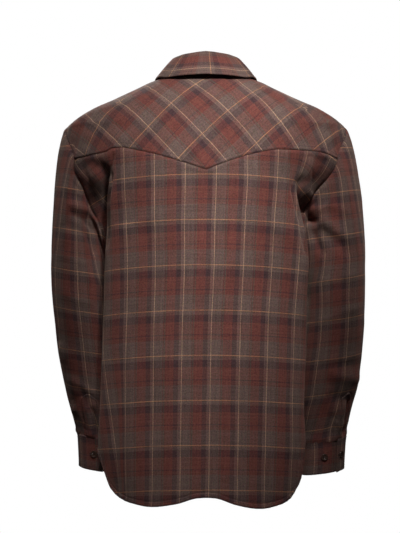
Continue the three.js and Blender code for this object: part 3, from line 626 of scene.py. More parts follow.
# A shell from a grid: one face half a wall out, one half a wall in, and rims that bulge.
def makeShell(name, points, cloth, wall, outMore=0, inMore=0, loop=False, flip=False):
    n, m = points.shape[:2]
    count = n * m
    normals = normalsOf(points, loop, flip)
    out, inside = (np.broadcast_to(wall / 2 + more, (n, m)) for more in (outMore, inMore))
    clothFaces[name] = lifted(points, normals, out), normals
    outer = clothFaces[name][0].reshape(-1, 3)
    inner = lifted(points, normals, -inside).reshape(-1, 3)
    index = np.arange(count).reshape(n, m)
    ring = np.vstack([index, index[:1]]) if loop else index
    mapIndex = np.arange(len(ring) * m).reshape(-1, m)
    quads, mapQuads = gridQuads(ring), gridQuads(mapIndex)
    if flip:
        quads, mapQuads = quads[:, ::-1], mapQuads[:, ::-1]
    vertices = [outer, inner]
    faces, mapFaces = [quads, quads[:, ::-1] + count], [mapQuads, mapQuads[:, ::-1]]
    top = 2 * count
    flatPoints = points.reshape(-1, 3)
    for line, mapLine in zip(rimLines(ring, loop), rimLines(mapIndex, loop)):
        base, after = line[:-1], line[1:]
        i = base // m if loop else np.clip(base // m, 1, n - 2)
        away = unit(flatPoints[base] - points[i, np.clip(base % m, 1, m - 2)])
        half = np.linalg.norm(outer[base] - inner[base], axis=1, keepdims=True) / 2
        vertices.append((outer[base] + inner[base]) / 2 + away * half * rimBulge)
        rim = top + np.arange(len(base))
        rimNext = np.roll(rim, -1)
        top += len(base)
        first = np.stack([base, rim, rimNext, after], -1)
        second = np.stack([rim, base + count, after + count, rimNext], -1)
        mapRim = np.stack([mapLine[:-1], mapLine[:-1], mapLine[1:], mapLine[1:]], -1)
        if flip:
            first, second, mapRim = first[:, ::-1], second[:, ::-1], mapRim[:, ::-1]
        faces += [first, second]
        mapFaces += [mapRim, mapRim]
    faces, mapFaces = np.concatenate(faces), np.concatenate(mapFaces)
    piece = addPiece(name, np.concatenate(vertices), faces.tolist(), flannel)
    spots = cloth.reshape(-1, 2)[mapFaces.ravel()].astype(np.float32)
    piece.data.uv_layers.new(name="cloth").uv.foreach_set("vector", spots.ravel())
    piece.data.update()
    return piece


def linear(*colour):
    parts = [c / 255 for c in colour]
    return tuple(c / 12.92 if c <= 0.04045 else ((c + 0.055) / 1.055) ** 2.4 for c in parts) + (1,)


yarn = {
    "warpGrey": (113, 92, 85),
    "warpPale": (125, 98, 91),
    "warpRed": (121, 65, 58),
    "warpMaroon": (108, 60, 57),
    "warpGreen": (97, 82, 73),
    "warpDark": (79, 56, 58),
    "cream": (222, 180, 146),
    "weftGrey": (111, 90, 83),
    "weftRed": (117, 72, 64),
    "weftDark": (77, 57, 58),
    "orange": (222, 158, 112),
}
# each stripe: where it starts in the repeat, and its yarn
warpStripes = [
    (0, "cream"), (0.01, "warpGrey"), (0.33, "warpMaroon"), (0.36, "warpGreen"), (0.41, "warpRed"),
    (0.72, "warpDark"), (0.88, "warpPale"), (0.99, "cream"),
]
weftStripes = [
    (0, "orange"), (0.0075, "weftGrey"), (0.10, "weftDark"), (0.26, "weftRed"), (0.53, "weftDark"),
    (0.555, "weftRed"), (0.655, "weftGrey"), (0.9925, "orange"),
]
# the twill: softness of a stripe's edge, how far yarns wander in repeats, and their mottling
twillLook = {
    "stripeSoft": 0.004,
    "warpWander": 0.012,
    "weftWander": 0.009,
    "fleckScale": 0.36,
    "fleckGain": 7.0,
    "bandGain": 5.0,
    "threadsAcross": 4.0,
    "fibreScale": 0.4,
    "fleckHeight": 1.2,
}


class Wiring:
    # short calls for adding and joining nodes
    def __init__(self, tree):
        self.tree = tree

    def add(self, kind, inputs=None, **settings):
        node = self.tree.nodes.new("ShaderNode" + kind)
        for key, value in settings.items():
            setattr(node, key, value)
        for key, value in (inputs or {}).items():
            self.give(node.inputs[key], value)
        return node

    def give(self, socket, value):
        if isinstance(value, bpy.types.NodeSocket):
            self.tree.links.new(value, socket)
        else:
            socket.default_value = value

    def math(self, operation, a, b=0.0, c=0.0, clamp=False):
        inputs = {0: a, 1: b, 2: c}
        return self.add("Math", inputs, operation=operation, use_clamp=clamp).outputs[0]

    # how far a value lies above a half
    def above(self, value):
        return self.math("SUBTRACT", value, 0.5)

    def blend(self, factor, a, b, mode="MIX"):
        inputs = {"Factor": factor, 6: a, 7: b}
        return self.add("Mix", inputs, data_type="RGBA", blend_type=mode).outputs[2]

    # a colour made lighter or darker by a value
    def shade(self, colour, gain):
        grey = self.add("CombineXYZ", {0: gain, 1: gain, 2: gain}).outputs[0]
        return self.blend(1.0, colour, grey, "MULTIPLY")

    def noise(self, vector, scale, detail=2.0, rough=0.5, output="Fac"):
        inputs = {"Vector": vector, "Scale": scale, "Detail": detail, "Roughness": rough}
        return self.add("TexNoise", inputs).outputs[output]

    def stretch(self, vector, x, y, z=1.0):
        return self.add("VectorMath", {0: vector, 1: (x, y, z)}, operation="MULTIPLY").outputs[0]

    def group(self, tree, inputs):
        return self.add("Group", inputs, node_tree=tree).outputs

    def stripes(self, factor, rows):
        node = self.add("ValToRGB", {"Fac": factor})
        soft = twillLook["stripeSoft"]
        stops = [(0.0, rows[0][1])]
        for (start, name), (_, last) in zip(rows[1:], rows[:-1]):
            stops += [(start - soft, last), (start + soft, name)]
        elements = node.color_ramp.elements
        while len(elements) < len(stops):
            elements.new(0.5)
        for element, (place, _) in zip(elements, stops):
            element.position = place
        for element, (_, name) in zip(elements, stops):
            element.color = linear(*yarn[name])
        return node.outputs[0]


socketKinds = {"Cloth Map": "Vector", "Place": "Vector", "Colour": "Color"}  # others are floats


def makeGroup(name, inputs, outputs):
    tree = bpy.data.node_groups.new(name, "ShaderNodeTree")
    for way, labels in (("INPUT", inputs), ("OUTPUT", outputs)):
        for label in labels:
            kind = "NodeSocket" + socketKinds.get(label, "Float")
            socket = tree.interface.new_socket(label, in_out=way, socket_type=kind)
            if way == "INPUT" and inputs[label] is not None:
                socket.default_value = inputs[label]
    start, end = tree.nodes.new("NodeGroupInput"), tree.nodes.new("NodeGroupOutput")
    return Wiring(tree), start.outputs, end.inputs


# plaid colours and the twill's height, from a map counted in repeats
def makePlaidGroup():
    inputs = {
        "Cloth Map": None,
        "Thread Pitch": 0.4,
        "Heather": 0.3,
        "Fibre Mix": 0.5,
        "Twill Contrast": 0.5,
    }
    w, given, result = makeGroup("plaidTwill", inputs, ["Colour", "Height"])
    inMm = w.stretch(given["Cloth Map"], plaid["warpRepeat"], plaid["weftRepeat"])
    places = w.add("SeparateXYZ", {0: given["Cloth Map"]}).outputs
    threads = w.add("SeparateXYZ", {0: inMm}).outputs
    fleck = w.noise(inMm, twillLook["fleckScale"], 5.0, 0.8)
    tone = []
    for number, label in enumerate(("warp", "weft")):
        # noise drawn out along the yarns: how fine it is across them and along them
        def drawnOut(across, along, *noise):
            pair = (across, along) if label == "warp" else (along, across)
            return w.noise(w.stretch(inMm, *pair), *noise)

        # a yarn's place in its repeat; the whole number keeps it above zero
        wander = twillLook[label + "Wander"]
        place = w.math("ADD", places[number], 64 - wander / 2)
        place = w.math("MULTIPLY_ADD", drawnOut(1.0, 0.02, 1.4, 1.0), wander, place)
        dyed = w.stripes(w.math("FRACT", place), warpStripes if label == "warp" else weftStripes)
        # single yarns run lighter and darker along their length
        streak = w.above(drawnOut(1.3, 0.09, 1.0, 3.0, 0.6))
        band = w.above(drawnOut(0.3, 0.014, 1.0, 4.0, 0.65))
        spread = w.math("MULTIPLY_ADD", band, twillLook["bandGain"], streak)
        spread = w.math("MULTIPLY_ADD", w.above(fleck), twillLook["fleckGain"], spread)
        tone.append(w.shade(dyed, w.math("MULTIPLY_ADD", spread, given["Heather"], 1.0)))
    wide = w.math("MULTIPLY", given["Thread Pitch"], twillLook["threadsAcross"])
    diagonal = w.math("DIVIDE", w.math("ADD", threads[0], threads[1]), wide)
    wave = {"Value": w.math("PINGPONG", diagonal, 0.5), "From Min": 0.13, "From Max": 0.37}
    rib = w.add("MapRange", wave, interpolation_type="SMOOTHSTEP").outputs[0]
    upper = w.math("MULTIPLY_ADD", w.above(rib), given["Twill Contrast"], 0.5)
    colour = w.blend(upper, tone[0], tone[1])
    # fibres of other colours spun into the yarns
    fibres = w.noise(inMm, twillLook["fibreScale"], 5.0, 0.85, "Color")
    w.give(result["Colour"], w.blend(given["Fibre Mix"], colour, fibres, "OVERLAY"))
    threadRib = w.math("PINGPONG", w.math("DIVIDE", threads[0], given["Thread Pitch"]), 0.5)
    height = w.math("MULTIPLY", w.math("ADD", rib, threadRib), 0.5)
    w.give(result["Height"], w.math("MULTIPLY_ADD", fleck, twillLook["fleckHeight"], height))
    return w.tree


# slow changes of tone from washing and wear, and the brushed nap
def makeNapGroup():
    inputs = {
        "Place": None,
        "Broad Scale": 9.0,
        "Fine Scale": 520.0,
        "Fade": 0.12,
        "Roughness": 0.84,
        "Colour": None,
    }
    w, given, result = makeGroup("brushedNap", inputs, ["Colour", "Height", "Roughness"])
    broad = w.noise(given["Place"], given["Broad Scale"], 3.0, 0.6)
    fine = w.noise(given["Place"], given["Fine Scale"], 3.0, 0.7)
    spread = w.math("MULTIPLY_ADD", w.above(fine), 0.8, w.above(broad))
    gain = w.math("MULTIPLY_ADD", spread, given["Fade"], 1.0)
    w.give(result["Colour"], w.shade(given["Colour"], gain))
    w.give(result["Height"], fine)
    rough = w.math("MULTIPLY_ADD", broad, 0.12, given["Roughness"], clamp=True)
    w.give(result["Roughness"], rough)
    return w.tree


plaidGroup = makePlaidGroup()
napGroup = makeNapGroup()
flannelLook = {
    "twill": {"Heather": 0.32, "Twill Contrast": 0.55},
    "nap": {"Fade": 0.16},
    "bump": {"Strength": 0.35, "Distance": 0.0006},
    "finish": {
        "Specular IOR Level": 0.18,
        "Sheen Weight": 0.22,
        "Sheen Roughness": 0.45,
        "Sheen Tint": linear(225, 200, 180),
    },
}
threadLook = {
    "nap": {
        "Colour": linear(58, 38, 36),
        "Broad Scale": 60,
        "Fine Scale": 900,
        "Fade": 0.9,
        "Roughness": 0.62,
    },
    "bump": {"Strength": 0.5, "Distance": 0.0003},
    "finish": {},
}
hornLook = {
    "nap": {
        "Colour": linear(78, 56, 47),
        "Broad Scale": 130,
        "Fine Scale": 420,
        "Fade": 1.5,
        "Roughness": 0.2,
    },
    "bump": {"Strength": 0.06, "Distance": 0.0003},
    "finish": {"Coat Weight": 0.35},
}


def makeMaterial(name, look):
    material = bpy.data.materials.new(name)
    material.use_nodes = True
    w = Wiring(material.node_tree)
    inputs = {"Place": w.add("TexCoord").outputs["Object"], **look["nap"]}
    if "twill" in look:
        clothMap = w.add("UVMap", uv_map="cloth").outputs[0]
        twill = w.group(plaidGroup, {"Cloth Map": clothMap, **look["twill"]})
        inputs["Colour"] = twill["Colour"]
    nap = w.group(napGroup, inputs)
    height = w.math("ADD", twill["Height"], nap["Height"]) if "twill" in look else nap["Height"]
    relief = w.add("Bump", {"Height": height, **look["bump"]}).outputs[0]
    fed = {"Base Color": nap["Colour"], "Roughness": nap["Roughness"], "Normal": relief}
    shader = material.node_tree.nodes["Principled BSDF"]
    for label, value in {**look["finish"], **fed}.items():
        w.give(shader.inputs[label], value)
    return material


flannel = makeMaterial("plaidFlannel", flannelLook)
sewingThread = makeMaterial("sewingThread", threadLook)
buttonHorn = makeMaterial("buttonHorn", hornLook)
print("flannel made")


# size in mm, shift, strength, and how fast it changes with height
rumpleNoise = [(70, 3.1, 1, 0.6), (21, 7.7, 0.35, 1), (8, 1.3, 0.08, 1)]


def rumple(points, normals, amount):
    lift = 0
    for size, shift, strength, pace in rumpleNoise:
        lift = lift + strength * softNoise(points * (1, 1, pace), size, shift)
    return lifted(points, normals, lift * amount)


# small puckers that a sewn line draws into the cloth beside it
def pucker(along, off, amount, wave=8.5):
    ripple = np.sin(2 * math.pi * along / wave + 1.7 * np.sin(along / 23))
    return amount * ripple * bell(off, 0, 8)


hemRidges = [(1.5, 3.2, 3.0), (-1.3, 8.2, 2.2)]


# a turned hem: full at the edge, drawn in at its stitches
def hemShape(along, off):
    drawn = pucker(along, off - 3, 0.55, 11) + pucker(along, off - 12, 0.3, 19)
    return ridges(off, hemRidges) + drawn


def foldedBody(points, flip):
    normals = normalsOf(points, False, flip)
    moved = lifted(points, normals, foldLift(bodyFolds + bodyCreases, points, normals))
    return moved + drapeLift(bodyDrapes, points, normals), normals


# rows from hem to top, closer together at both ends
def rowShares(count, end=0.022, close=9):
    first = np.linspace(0, end, close + 1)[:-1]
    middle = np.linspace(end, 1 - end, count - 2 * close)
    return np.concatenate([first, middle, 1 - first[::-1]])[None, :]


# in these dictionaries ridges are rows of height, distance from the edge and width
backPanel = {
    "columns": 181,
    "rows": 190,
    "rumple": 0.9,
    "topRidges": [(-0.9, 0, 3), (0.5, 7, 5)],
    "holeRidges": [(-1.8, 0, 4)],
    "rightHole": 0.3,
    "hemRoll": 0.5,
    # the seam allowance under the yoke: how far up, how far in, how far on in the plaid
    "allowance": [(2.5, 1.0, 0.03), (6, 1.6, 0.07)],
}


def makeBack():
    across = np.linspace(-1, 1, backPanel["columns"])[:, None]
    top = sidedLine(yokeSeam, across)
    z = mix(hemHeight("back", across), top, rowShares(backPanel["rows"]))
    across = across + 0 * z
    cloth = bodyCloth("back", across, z)
    points, normals = foldedBody(bodyPoint("back", across, z), True)
    fromHem, fromTop = fromEnds(points, 1)
    fromSide = np.minimum(*fromEnds(points, 0))
    quiet = smooth(0, 14, np.minimum(fromTop, fromSide))
    points = rumple(points, normals, backPanel["rumple"] * quiet)
    along = lengthsAlong(points, 0)
    byHole = np.where(across > 0, 1, backPanel["rightHole"]) * smooth(cut["underarm"], -300, z)
    lift = ridges(fromTop, backPanel["topRidges"]) + pucker(along, fromTop, 0.3)
    lift += byHole * ridges(fromSide, backPanel["holeRidges"]) + hemShape(along, fromHem)
    points = lifted(points, normals, lift)
    edge, clothEdge = points[:, -1:], cloth[:, -1:]
    up = unit(edge - points[:, -3:-2])
    under, clothUnder = [], []
    for rise, sink, drop in backPanel["allowance"]:
        under.append(edge + up * rise - normals[:, -1:] * sink)
        clothUnder.append(clothEdge - (0, drop))
    points = np.concatenate([points] + under, 1)
    cloth = np.concatenate([cloth] + clothUnder, 1)
    fromHem = np.pad(fromHem, ((0, 0), (0, len(under))), mode="edge")
    roll = backPanel["hemRoll"] * np.exp(-((fromHem / 8) ** 4))
    return makeShell("back_panel", points, cloth, cut["clothWall"], roll, roll, flip=True)


yokePanel = {
    "seamColumns": 90,
    "backHoleColumns": 22,
    "frontHoleColumns": 16,
    "rows": 57,
    "seamShare": 0.55,  # of the back neck, above the seam's own columns
    "rumple": 0.6,
    "lip": 0.7,
    "edgeRidges": [(-0.3, 2.5, 1.5)],
    "flatRounds": 600,
    # cut on the bias: turn of the threads' normal, repeat and first line
    "warp": (140.8, 60.3, 2.569),
    "weft": (-139.7, 78.3, -0.173),
}


def yokeGrid():
    t = np.linspace(0, 1, yokePanel["rows"])
    seam = np.linspace(0, 1, yokePanel["seamColumns"])
    backHole, frontHole = (
        np.linspace(0, 1, yokePanel[key] + 1)[1:] for key in ("backHoleColumns", "frontHoleColumns")
    )
    join, shoulder = yokePanel["seamShare"], cut["shoulderTop"]
    halves = {}
    for side in (-1, 1):
        # half of the body, share of the neck, place across and height of the outer end
        spots = [("back", join * u, u, float(sidedLine(yokeSeam, side * u))) for u in seam]
        spots += [
            ("back", mix(join, 1, u), 1, mix(cut["backArmholeTop"], shoulder, u)) for u in backHole
        ]
        spots += [
            ("front", cut["yokeEndShare"] * u, 1, mix(shoulder, cut["frontArmholeTop"], u))
            for u in frontHole
        ]
        columns = []
        for half, share, outerU, outerZ in spots:
            neck = backNeck if half == "back" else frontNeck
            u = mix(readLine(neck, 1, share), outerU, t)
            columns.append(bodyPoint(half, side * u, mix(readLine(neck, 2, share), outerZ, t)))
        halves[side] = columns
    return np.array(halves[-1][:0:-1] + halves[1])


# a point that lies given distances from two others, on one side of them
def thirdPoint(p, q, fromP, fromQ, side):
    along = q - p
    gap = np.linalg.norm(along)
    x = (fromP**2 - fromQ**2 + gap**2) / (2 * gap)
    rise = math.sqrt(max(fromP**2 - x**2, 0))
    return p + (along * x + side * rise * np.array([-along[1], along[0]])) / gap


def yokeCloth(points):
    # opened flat strip by strip from the middle, then eased to its real lengths
    rough = points[1:-1:4, ::4]
    neck, outer, middle = rough[:, 0], rough[:, -1], len(rough) // 2
    flatNeck, flatOuter = np.zeros((2, len(rough), 2))
    flatOuter[middle] = 0, -np.linalg.norm(neck[middle] - outer[middle])
    for step in (1, -1):
        i = middle
        while 0 <= i + step < len(rough):
            j = i + step
            toOuter = [np.linalg.norm(outer[j] - p) for p in (neck[i], outer[i])]
            flatOuter[j] = thirdPoint(flatNeck[i], flatOuter[i], *toOuter, step)
            toNeck = [np.linalg.norm(neck[j] - p) for p in (outer[j], neck[i])]
            flatNeck[j] = thirdPoint(flatOuter[j], flatNeck[i], *toNeck, -step)
            i = j
    share = lengthsAlong(rough, 1)
    share = (share / share[:, -1:])[..., None]
    start = mix(flatNeck[:, None], flatOuter[:, None], share)
    flat = flatten(rough, start, yokePanel["flatRounds"])
    column, row = (np.linspace(0, flat.shape[k] - 1, points.shape[k]) for k in (0, 1))
    full = readGrid(flat, column[:, None], row[None, :])
    cloth = []
    for thread in ("warp", "weft"):
        turn, repeat, first = yokePanel[thread]
        normal = (math.cos(math.radians(turn)), math.sin(math.radians(turn)))
        cloth.append(full @ normal / repeat + first)
    return np.stack(cloth, -1)


def makeYoke():
    points = yokeGrid()
    cloth = yokeCloth(points)
    points, normals = foldedBody(points, False)
    fromNeck, fromEdge = fromEnds(points, 1)
    quiet = smooth(0, 12, np.minimum(fromEdge, fromNeck))
    points = rumple(points, normals, yokePanel["rumple"] * quiet)
    lip = yokePanel["lip"] * smooth(11, 2, fromEdge) + ridges(fromEdge, yokePanel["edgeRidges"])
    lip += pucker(lengthsAlong(points, 0)[:, -1:], fromEdge, 0.25)
    return makeShell("yoke_panel", lifted(points, normals, lip), cloth, cut["clothWall"])


frontPanel = {
    "columns": 84,
    "placketColumns": 12,
    "rows": 180,
    "rumple": 0.9,
    "lapDepth": 1.3,
    "lapFade": (20, 56),  # distances from the centre front
    "topRidges": [(-0.9, 0, 3)],
    "holeRidges": [(-0.5, 0, 2.5)],
    # half widths of a row that turn mm into a share of it: to start from, and for the
    # first column beyond the placket
    "startWidth": 220,
    "outerWidth": 277,
}
placketEdge = cut["placketWidth"] / 2


# Columns by the placket keep their distance from the centre front in mm, and the others
# spread to the side by their share of the way.
def frontGrid(side, reach, v, spread=np.zeros(0)):
    reach = reach[:, None]
    guess = reach / frontPanel["startWidth"]
    z = mix(hemHeight("front", guess), frontTop(guess), v)
    inner = np.sign(reach) * acrossAt("front", np.abs(reach) + 0 * z, z)
    outer = mix(placketEdge / frontPanel["outerWidth"], 1, spread)[:, None] + 0 * v
    u = np.concatenate([inner, outer])
    z = mix(hemHeight("front", u), frontTop(u), v)
    points = bodyPoint("front", side * u, z)
    lap = 1 - smooth(*frontPanel["lapFade"], side * points[..., 0])
    points[..., 1] -= side * frontPanel["lapDepth"] * lap
    return points, side * u, z


def makeFront(side):
    reach = np.linspace(-placketEdge, placketEdge, frontPanel["placketColumns"])
    spread = np.linspace(0, 1, frontPanel["columns"])[1:]
    points, across, z = frontGrid(side, reach, rowShares(frontPanel["rows"]), spread)
    cloth = bodyCloth("front", across, z)
    points, normals = foldedBody(points, side < 0)
    fromHem, fromTop = fromEnds(points, 1)
    fromSide = fromEnds(points, 0)[1]
    quiet = smooth(0, 14, np.minimum(fromTop, fromSide)) * smooth(15, 50, np.abs(points[..., 0]))
    points = rumple(points, normals, frontPanel["rumple"] * quiet)
    # only the stretch under the yoke dips
    underYoke = smooth(yokeFrontU - 0.02, yokeFrontU + 0.05, np.abs(across))
    lift = ridges(fromSide, frontPanel["holeRidges"])
    lift += underYoke * ridges(fromTop, frontPanel["topRidges"])
    lift += hemShape(lengthsAlong(points, 0), fromHem) * quiet**0.1
    name = f"front_panel_{sideNames[side]}"
    points = lifted(points, normals, lift)
    return makeShell(name, points, cloth, cut["clothWall"], flip=side < 0)


print("making body panels")
back = makeBack()
yoke = makeYoke()
frontLeft, frontRight = makeFront(1), makeFront(-1)

sleevePiece = {
    "columns": 132,
    "upperRows": 56,
    "lowerRows": 110,
    "rumple": 1.1,
    "square": 0.88,  # below 1 the sleeve's section is squarer than an ellipse
    "slant": (6, 27),  # rise of a section outside and its drop inside, at cuff and top
    "cuffGap": 4,
    # how the upper arm leaves the armhole: outwards, along Y and down, then its strength
    "leave": {"out": (0.66, 0.14), "along": 0.6, "down": (-0.72, 0.08), "strength": 0.3},
    "allowance": [(6, 2.2, 0.08), (2.5, 1.6, 0.03)],
    # the head stands up a little beside its seam, and the cloth blouses over the cuff
    "headRidges": [(-1.3, 0, 3), (0.9, 8, 5)],
    "headShare": {1: 1, -1: 0.4},
    "cuffRidges": [(2.2, 9, 6)],
}


# the armhole as a curve: up the back from the underarm, over the shoulder, down the front
def armholeRing(side, count=500):
    climb = np.linspace(cut["underarm"], cut["shoulderTop"], count)
    parts, frames = [], []
    for half, heights in (("back", climb), ("front", climb[-2::-1])):
        edge = bodyPoint(half, side, heights)
        outward = unit(edge - bodyPoint(half, side * 0.985, heights))
        facing = unit(np.cross(outward, bodyPoint(half, side, heights + 0.5) - edge))
        sign = np.sign((facing * edge * (1, 1, 0)).sum(-1, keepdims=True))
        parts.append(edge)
        frames.append(np.concatenate([outward, facing * np.where(sign == 0, 1, sign)], 1))
    ring, frames = np.concatenate(parts), np.concatenate(frames)
    lengths = lengthsAlong(ring, 0)
    return ring, frames, np.interp(lengths, lengths[[0, count - 1, -1]], [0, 0.5, 1])


def sleevePoint(side, turn, level, grow=0.0):
    angle = 2 * math.pi * turn
    rise = smooth(cut["sleeveCuff"][side], cut["sleeveUpper"], level)
    z = level - mix(*sleevePiece["slant"], rise) * np.cos(angle)
    outer, inner, front, back = (readLine(sleeveRows[side], k, z) for k in (1, 2, 3, 4))
    swingX, swingY = (
        np.sign(swing) * np.abs(swing) ** sleevePiece["square"]
        for swing in (np.cos(angle), np.sin(angle))
    )
    x = (outer + inner) / 2 - ((outer - inner) / 2 + grow) * swingX
    y = (back + front) / 2 + ((back - front) / 2 + grow) * swingY
    return np.stack([side * x, y, z], -1)


def sleeveGrid(side):
    upper, cuff = cut["sleeveUpper"], cut["sleeveCuff"][side]
    ring, frames, ringTurns = armholeRing(side)
    turns = np.arange(sleevePiece["columns"]) / sleevePiece["columns"]
    start = readAlong(ring, ringTurns, turns)
    outward, facing = (unit(readAlong(part, ringTurns, turns)) for part in np.split(frames, 2, 1))
    # the upper arm leaves the armhole outwards and comes down to the section below it
    angle = 2 * math.pi * turns
    end = sleevePoint(side, turns, upper)
    far = np.linalg.norm(start - end, axis=1, keepdims=True)
    flat, head = np.cos(angle) ** 2, sleevePiece["leave"]
    outwards, downwards = (first + more * flat for first, more in (head["out"], head["down"]))
    leave = np.stack([side * outwards, head["along"] * np.sin(angle), downwards], -1)
    leave = unit(leave) * head["strength"] * far
    arrive = unit(sleevePoint(side, turns, upper - 10) - end) * far
    t = np.linspace(0, 1, sleevePiece["upperRows"])[None, :, None]
    ends = (part[:, None] for part in (start, leave, end, arrive))
    top = cubic(*ends, t, 1)
    levels = np.linspace(upper, cuff - sleevePiece["cuffGap"], sleevePiece["lowerRows"])[None, 1:]
    lowTurns = turns[:, None] + cut["sleeveTwist"][side] * (1 - smooth(cuff, upper, levels))
    low = sleevePoint(side, lowTurns, levels + 0 * lowTurns)
    allTurns = np.concatenate([np.tile(turns[:, None], sleevePiece["upperRows"]), lowTurns], 1)
    under = [start - outward * d - facing * s for d, s, _ in sleevePiece["allowance"]]
    return np.concatenate([top, low], 1), allTurns, np.stack(under, 1)


# warp by the running length round the arm from its outermost line, weft by the height
def sleeveCloth(side, points, turns):
    closed = np.concatenate([points, points[:1]], 0)
    turns = np.concatenate([turns, turns[:1] + 1], 0)
    around = lengthsAlong(closed, 0)
    outer = [np.interp(0.5, turn, length) for turn, length in zip(turns.T, around.T)]
    line = readLine(plaid["sleeveWarp"][side], 1, closed[..., 2])
    warp = side * (np.array(outer) - around - line) / plaid["warpRepeat"]
    fall = closed[..., 2] + plaid["sleeveTilt"] * np.cos(2 * math.pi * turns)
    return np.stack([warp, readLine(plaid["sleeveWeft"][side], 1, fall)], -1)


sleevePlaid = {}


def makeSleeve(side):
    points, turns, under = sleeveGrid(side)
    cloth = sleeveCloth(side, points, turns)
    normals = normalsOf(points, True, side < 0)
    fromTop, fromCuff = fromEnds(points, 1)
    quiet = smooth(0, 16, fromTop) * smooth(0, 10, fromCuff)
    drape = drapeLift(sleeveDrapes, points, normals) * quiet[..., None]
    lift = foldLift(sleeveFolds + sleeveCreases, points, normals) * quiet
    points = lifted(points, normals, lift) + drape
    points = rumple(points, normals, sleevePiece["rumple"] * quiet)
    around = lengthsAlong(points, 0)
    lift = ridges(fromTop, sleevePiece["headRidges"]) * sleevePiece["headShare"][side]
    lift += pucker(around, fromTop, 0.35, 10) + pucker(around, fromCuff / 2, 0.225, 15)
    lift += ridges(fromCuff, sleevePiece["cuffRidges"])
    points = np.concatenate([under, lifted(points, normals, lift)], 1)
    clothUnder = [cloth[:, :1] - (0, drop) for *_, drop in sleevePiece["allowance"]]
    cloth = np.concatenate(clothUnder + [cloth], 1)
    sleevePlaid[side] = cloth[:-1]
    name = f"sleeve_{sideNames[side]}_cloth"
    return makeShell(name, points, cloth, cut["clothWall"], loop=True, flip=side < 0)


print("making sleeves")
sleeveLeft, sleeveRight = makeSleeve(1), makeSleeve(-1)

# cuffs: one band that laps itself, its top end outside
cuffPiece = {
    "columns": 170,
    "rows": 22,
    "grow": 1.55,
    "growFade": ((0.1, 0.24), (0.86, 1)),  # shares of the way round
    "topGap": 0.4,
    "lapLift": 2.6,
    "lapFade": 0.05,
    "edgeRidges": [(0.35, 1.5, 2), (-0.3, 5, 1.6)],
    "swellShare": 0.6,
    "plaidShift": (0.2, 0.1),  # in repeats
}


def cuffPoint(side, share, t):
    ends = 1 - sum(smooth(*fade, share) for fade in cuffPiece["growFade"])
    level = cut["sleeveCuff"][side] - cuffPiece["topGap"] - cut["cuffDepth"] * t
    return sleevePoint(side, cut["cuffEdgeTurn"][side] + share, level, cuffPiece["grow"] * ends)


def makeCuff(side):
    share = np.linspace(0, 1 + cut["cuffLap"] / cut["cuffRound"], cuffPiece["columns"])[:, None]
    t = np.linspace(0, 1, cuffPiece["rows"])[None, :]
    points = cuffPoint(side, share + 0 * t, t + 0 * share)
    around, fromLast = fromEnds(points, 0)
    fromSeam = np.minimum(*fromEnds(points, 1))
    warp = side * around / plaid["warpRepeat"] + cuffPiece["plaidShift"][0]
    weft = t * cut["cuffDepth"] / plaid["weftRepeat"] + cuffPiece["plaidShift"][1]
    fromEdge = np.minimum(fromSeam, np.minimum(around, fromLast))
    swell = ridges(fromEdge, cuffPiece["edgeRidges"]) + pucker(around, fromSeam, 0.16, 9)
    lap = (1 - smooth(0, cuffPiece["lapFade"], share)) * cuffPiece["lapLift"] * (0.5 + 0.8 * t)
    name, flip = f"cuff_{sideNames[side]}_band", side < 0
    points = lifted(points, normalsOf(points, False, flip), lap)
    cloth = np.stack([warp, weft + 0 * warp], -1)
    more = swell * cuffPiece["swellShare"]
    return makeShell(name, points, cloth, cut["bandWall"], more, flip=flip)


cuffLeft, cuffRight = makeCuff(1), makeCuff(-1)

# front placket
placketPiece = {
    "columns": 13,
    "rows": 180,
    "lift": 1.95,
    "edgeRidges": [(0.25, 1.5, 2), (-0.25, 5.5, 1.6)],
    "warpShift": 0.31,  # in repeats
}


def makePlacket():
    reach = np.linspace(-placketEdge, placketEdge, placketPiece["columns"])
    v = np.linspace(0, 1, placketPiece["rows"])[None, :]
    points, across, z = frontGrid(1, reach, v)
    cloth = bodyCloth("front", across, z) + (placketPiece["warpShift"], 0)
    points, normals = foldedBody(points, False)
    off = (placketEdge - np.abs(reach))[:, None]
    swell = placketPiece["lift"] + ridges(off, placketPiece["edgeRidges"])
    swell = swell + pucker(lengthsAlong(points, 1), off, 0.14, 9)
    return makeShell("placket_band", lifted(points, normals, swell), cloth, cut["clothWall"])


placket = makePlacket()

# sleeve plackets beside the slit above each cuff
slitPiece = {"wide": 0.084, "long": 86, "columns": 14, "rows": 44, "lift": 0.9, "point": 12}


def makeSlitBand(side):
    name, upper, cuff = sideNames[side], cut["sleeveUpper"], cut["sleeveCuff"][side]
    share = np.linspace(0, 1, slitPiece["columns"])[:, None]
    t = np.linspace(0, 1, slitPiece["rows"])[None, :]
    long = slitPiece["long"] - slitPiece["point"] * np.abs(2 * share - 1)
    turn = cut["cuffEdgeTurn"][side] - cut["sleeveTwist"][side] + slitPiece["wide"] * share
    column = turn * sleevePiece["columns"] + 0 * t
    down = (cuff - 1 + long * t - upper) / (cuff - sleevePiece["cuffGap"] - upper)
    row = 1 + sleevePiece["upperRows"] + down * (sleevePiece["lowerRows"] - 1)
    grids = (*clothFaces[f"sleeve_{name}_cloth"], sleevePlaid[side])
    outer, facing, cloth = (readGrid(grid, column, row, loop=True) for grid in grids)
    points = outer + unit(facing) * slitPiece["lift"]
    return makeShell(f"slit_band_{name}", points, cloth, cut["clothWall"], flip=side > 0)


slitLeft, slitRight = makeSlitBand(1), makeSlitBand(-1)
print("cuffs and plackets made")

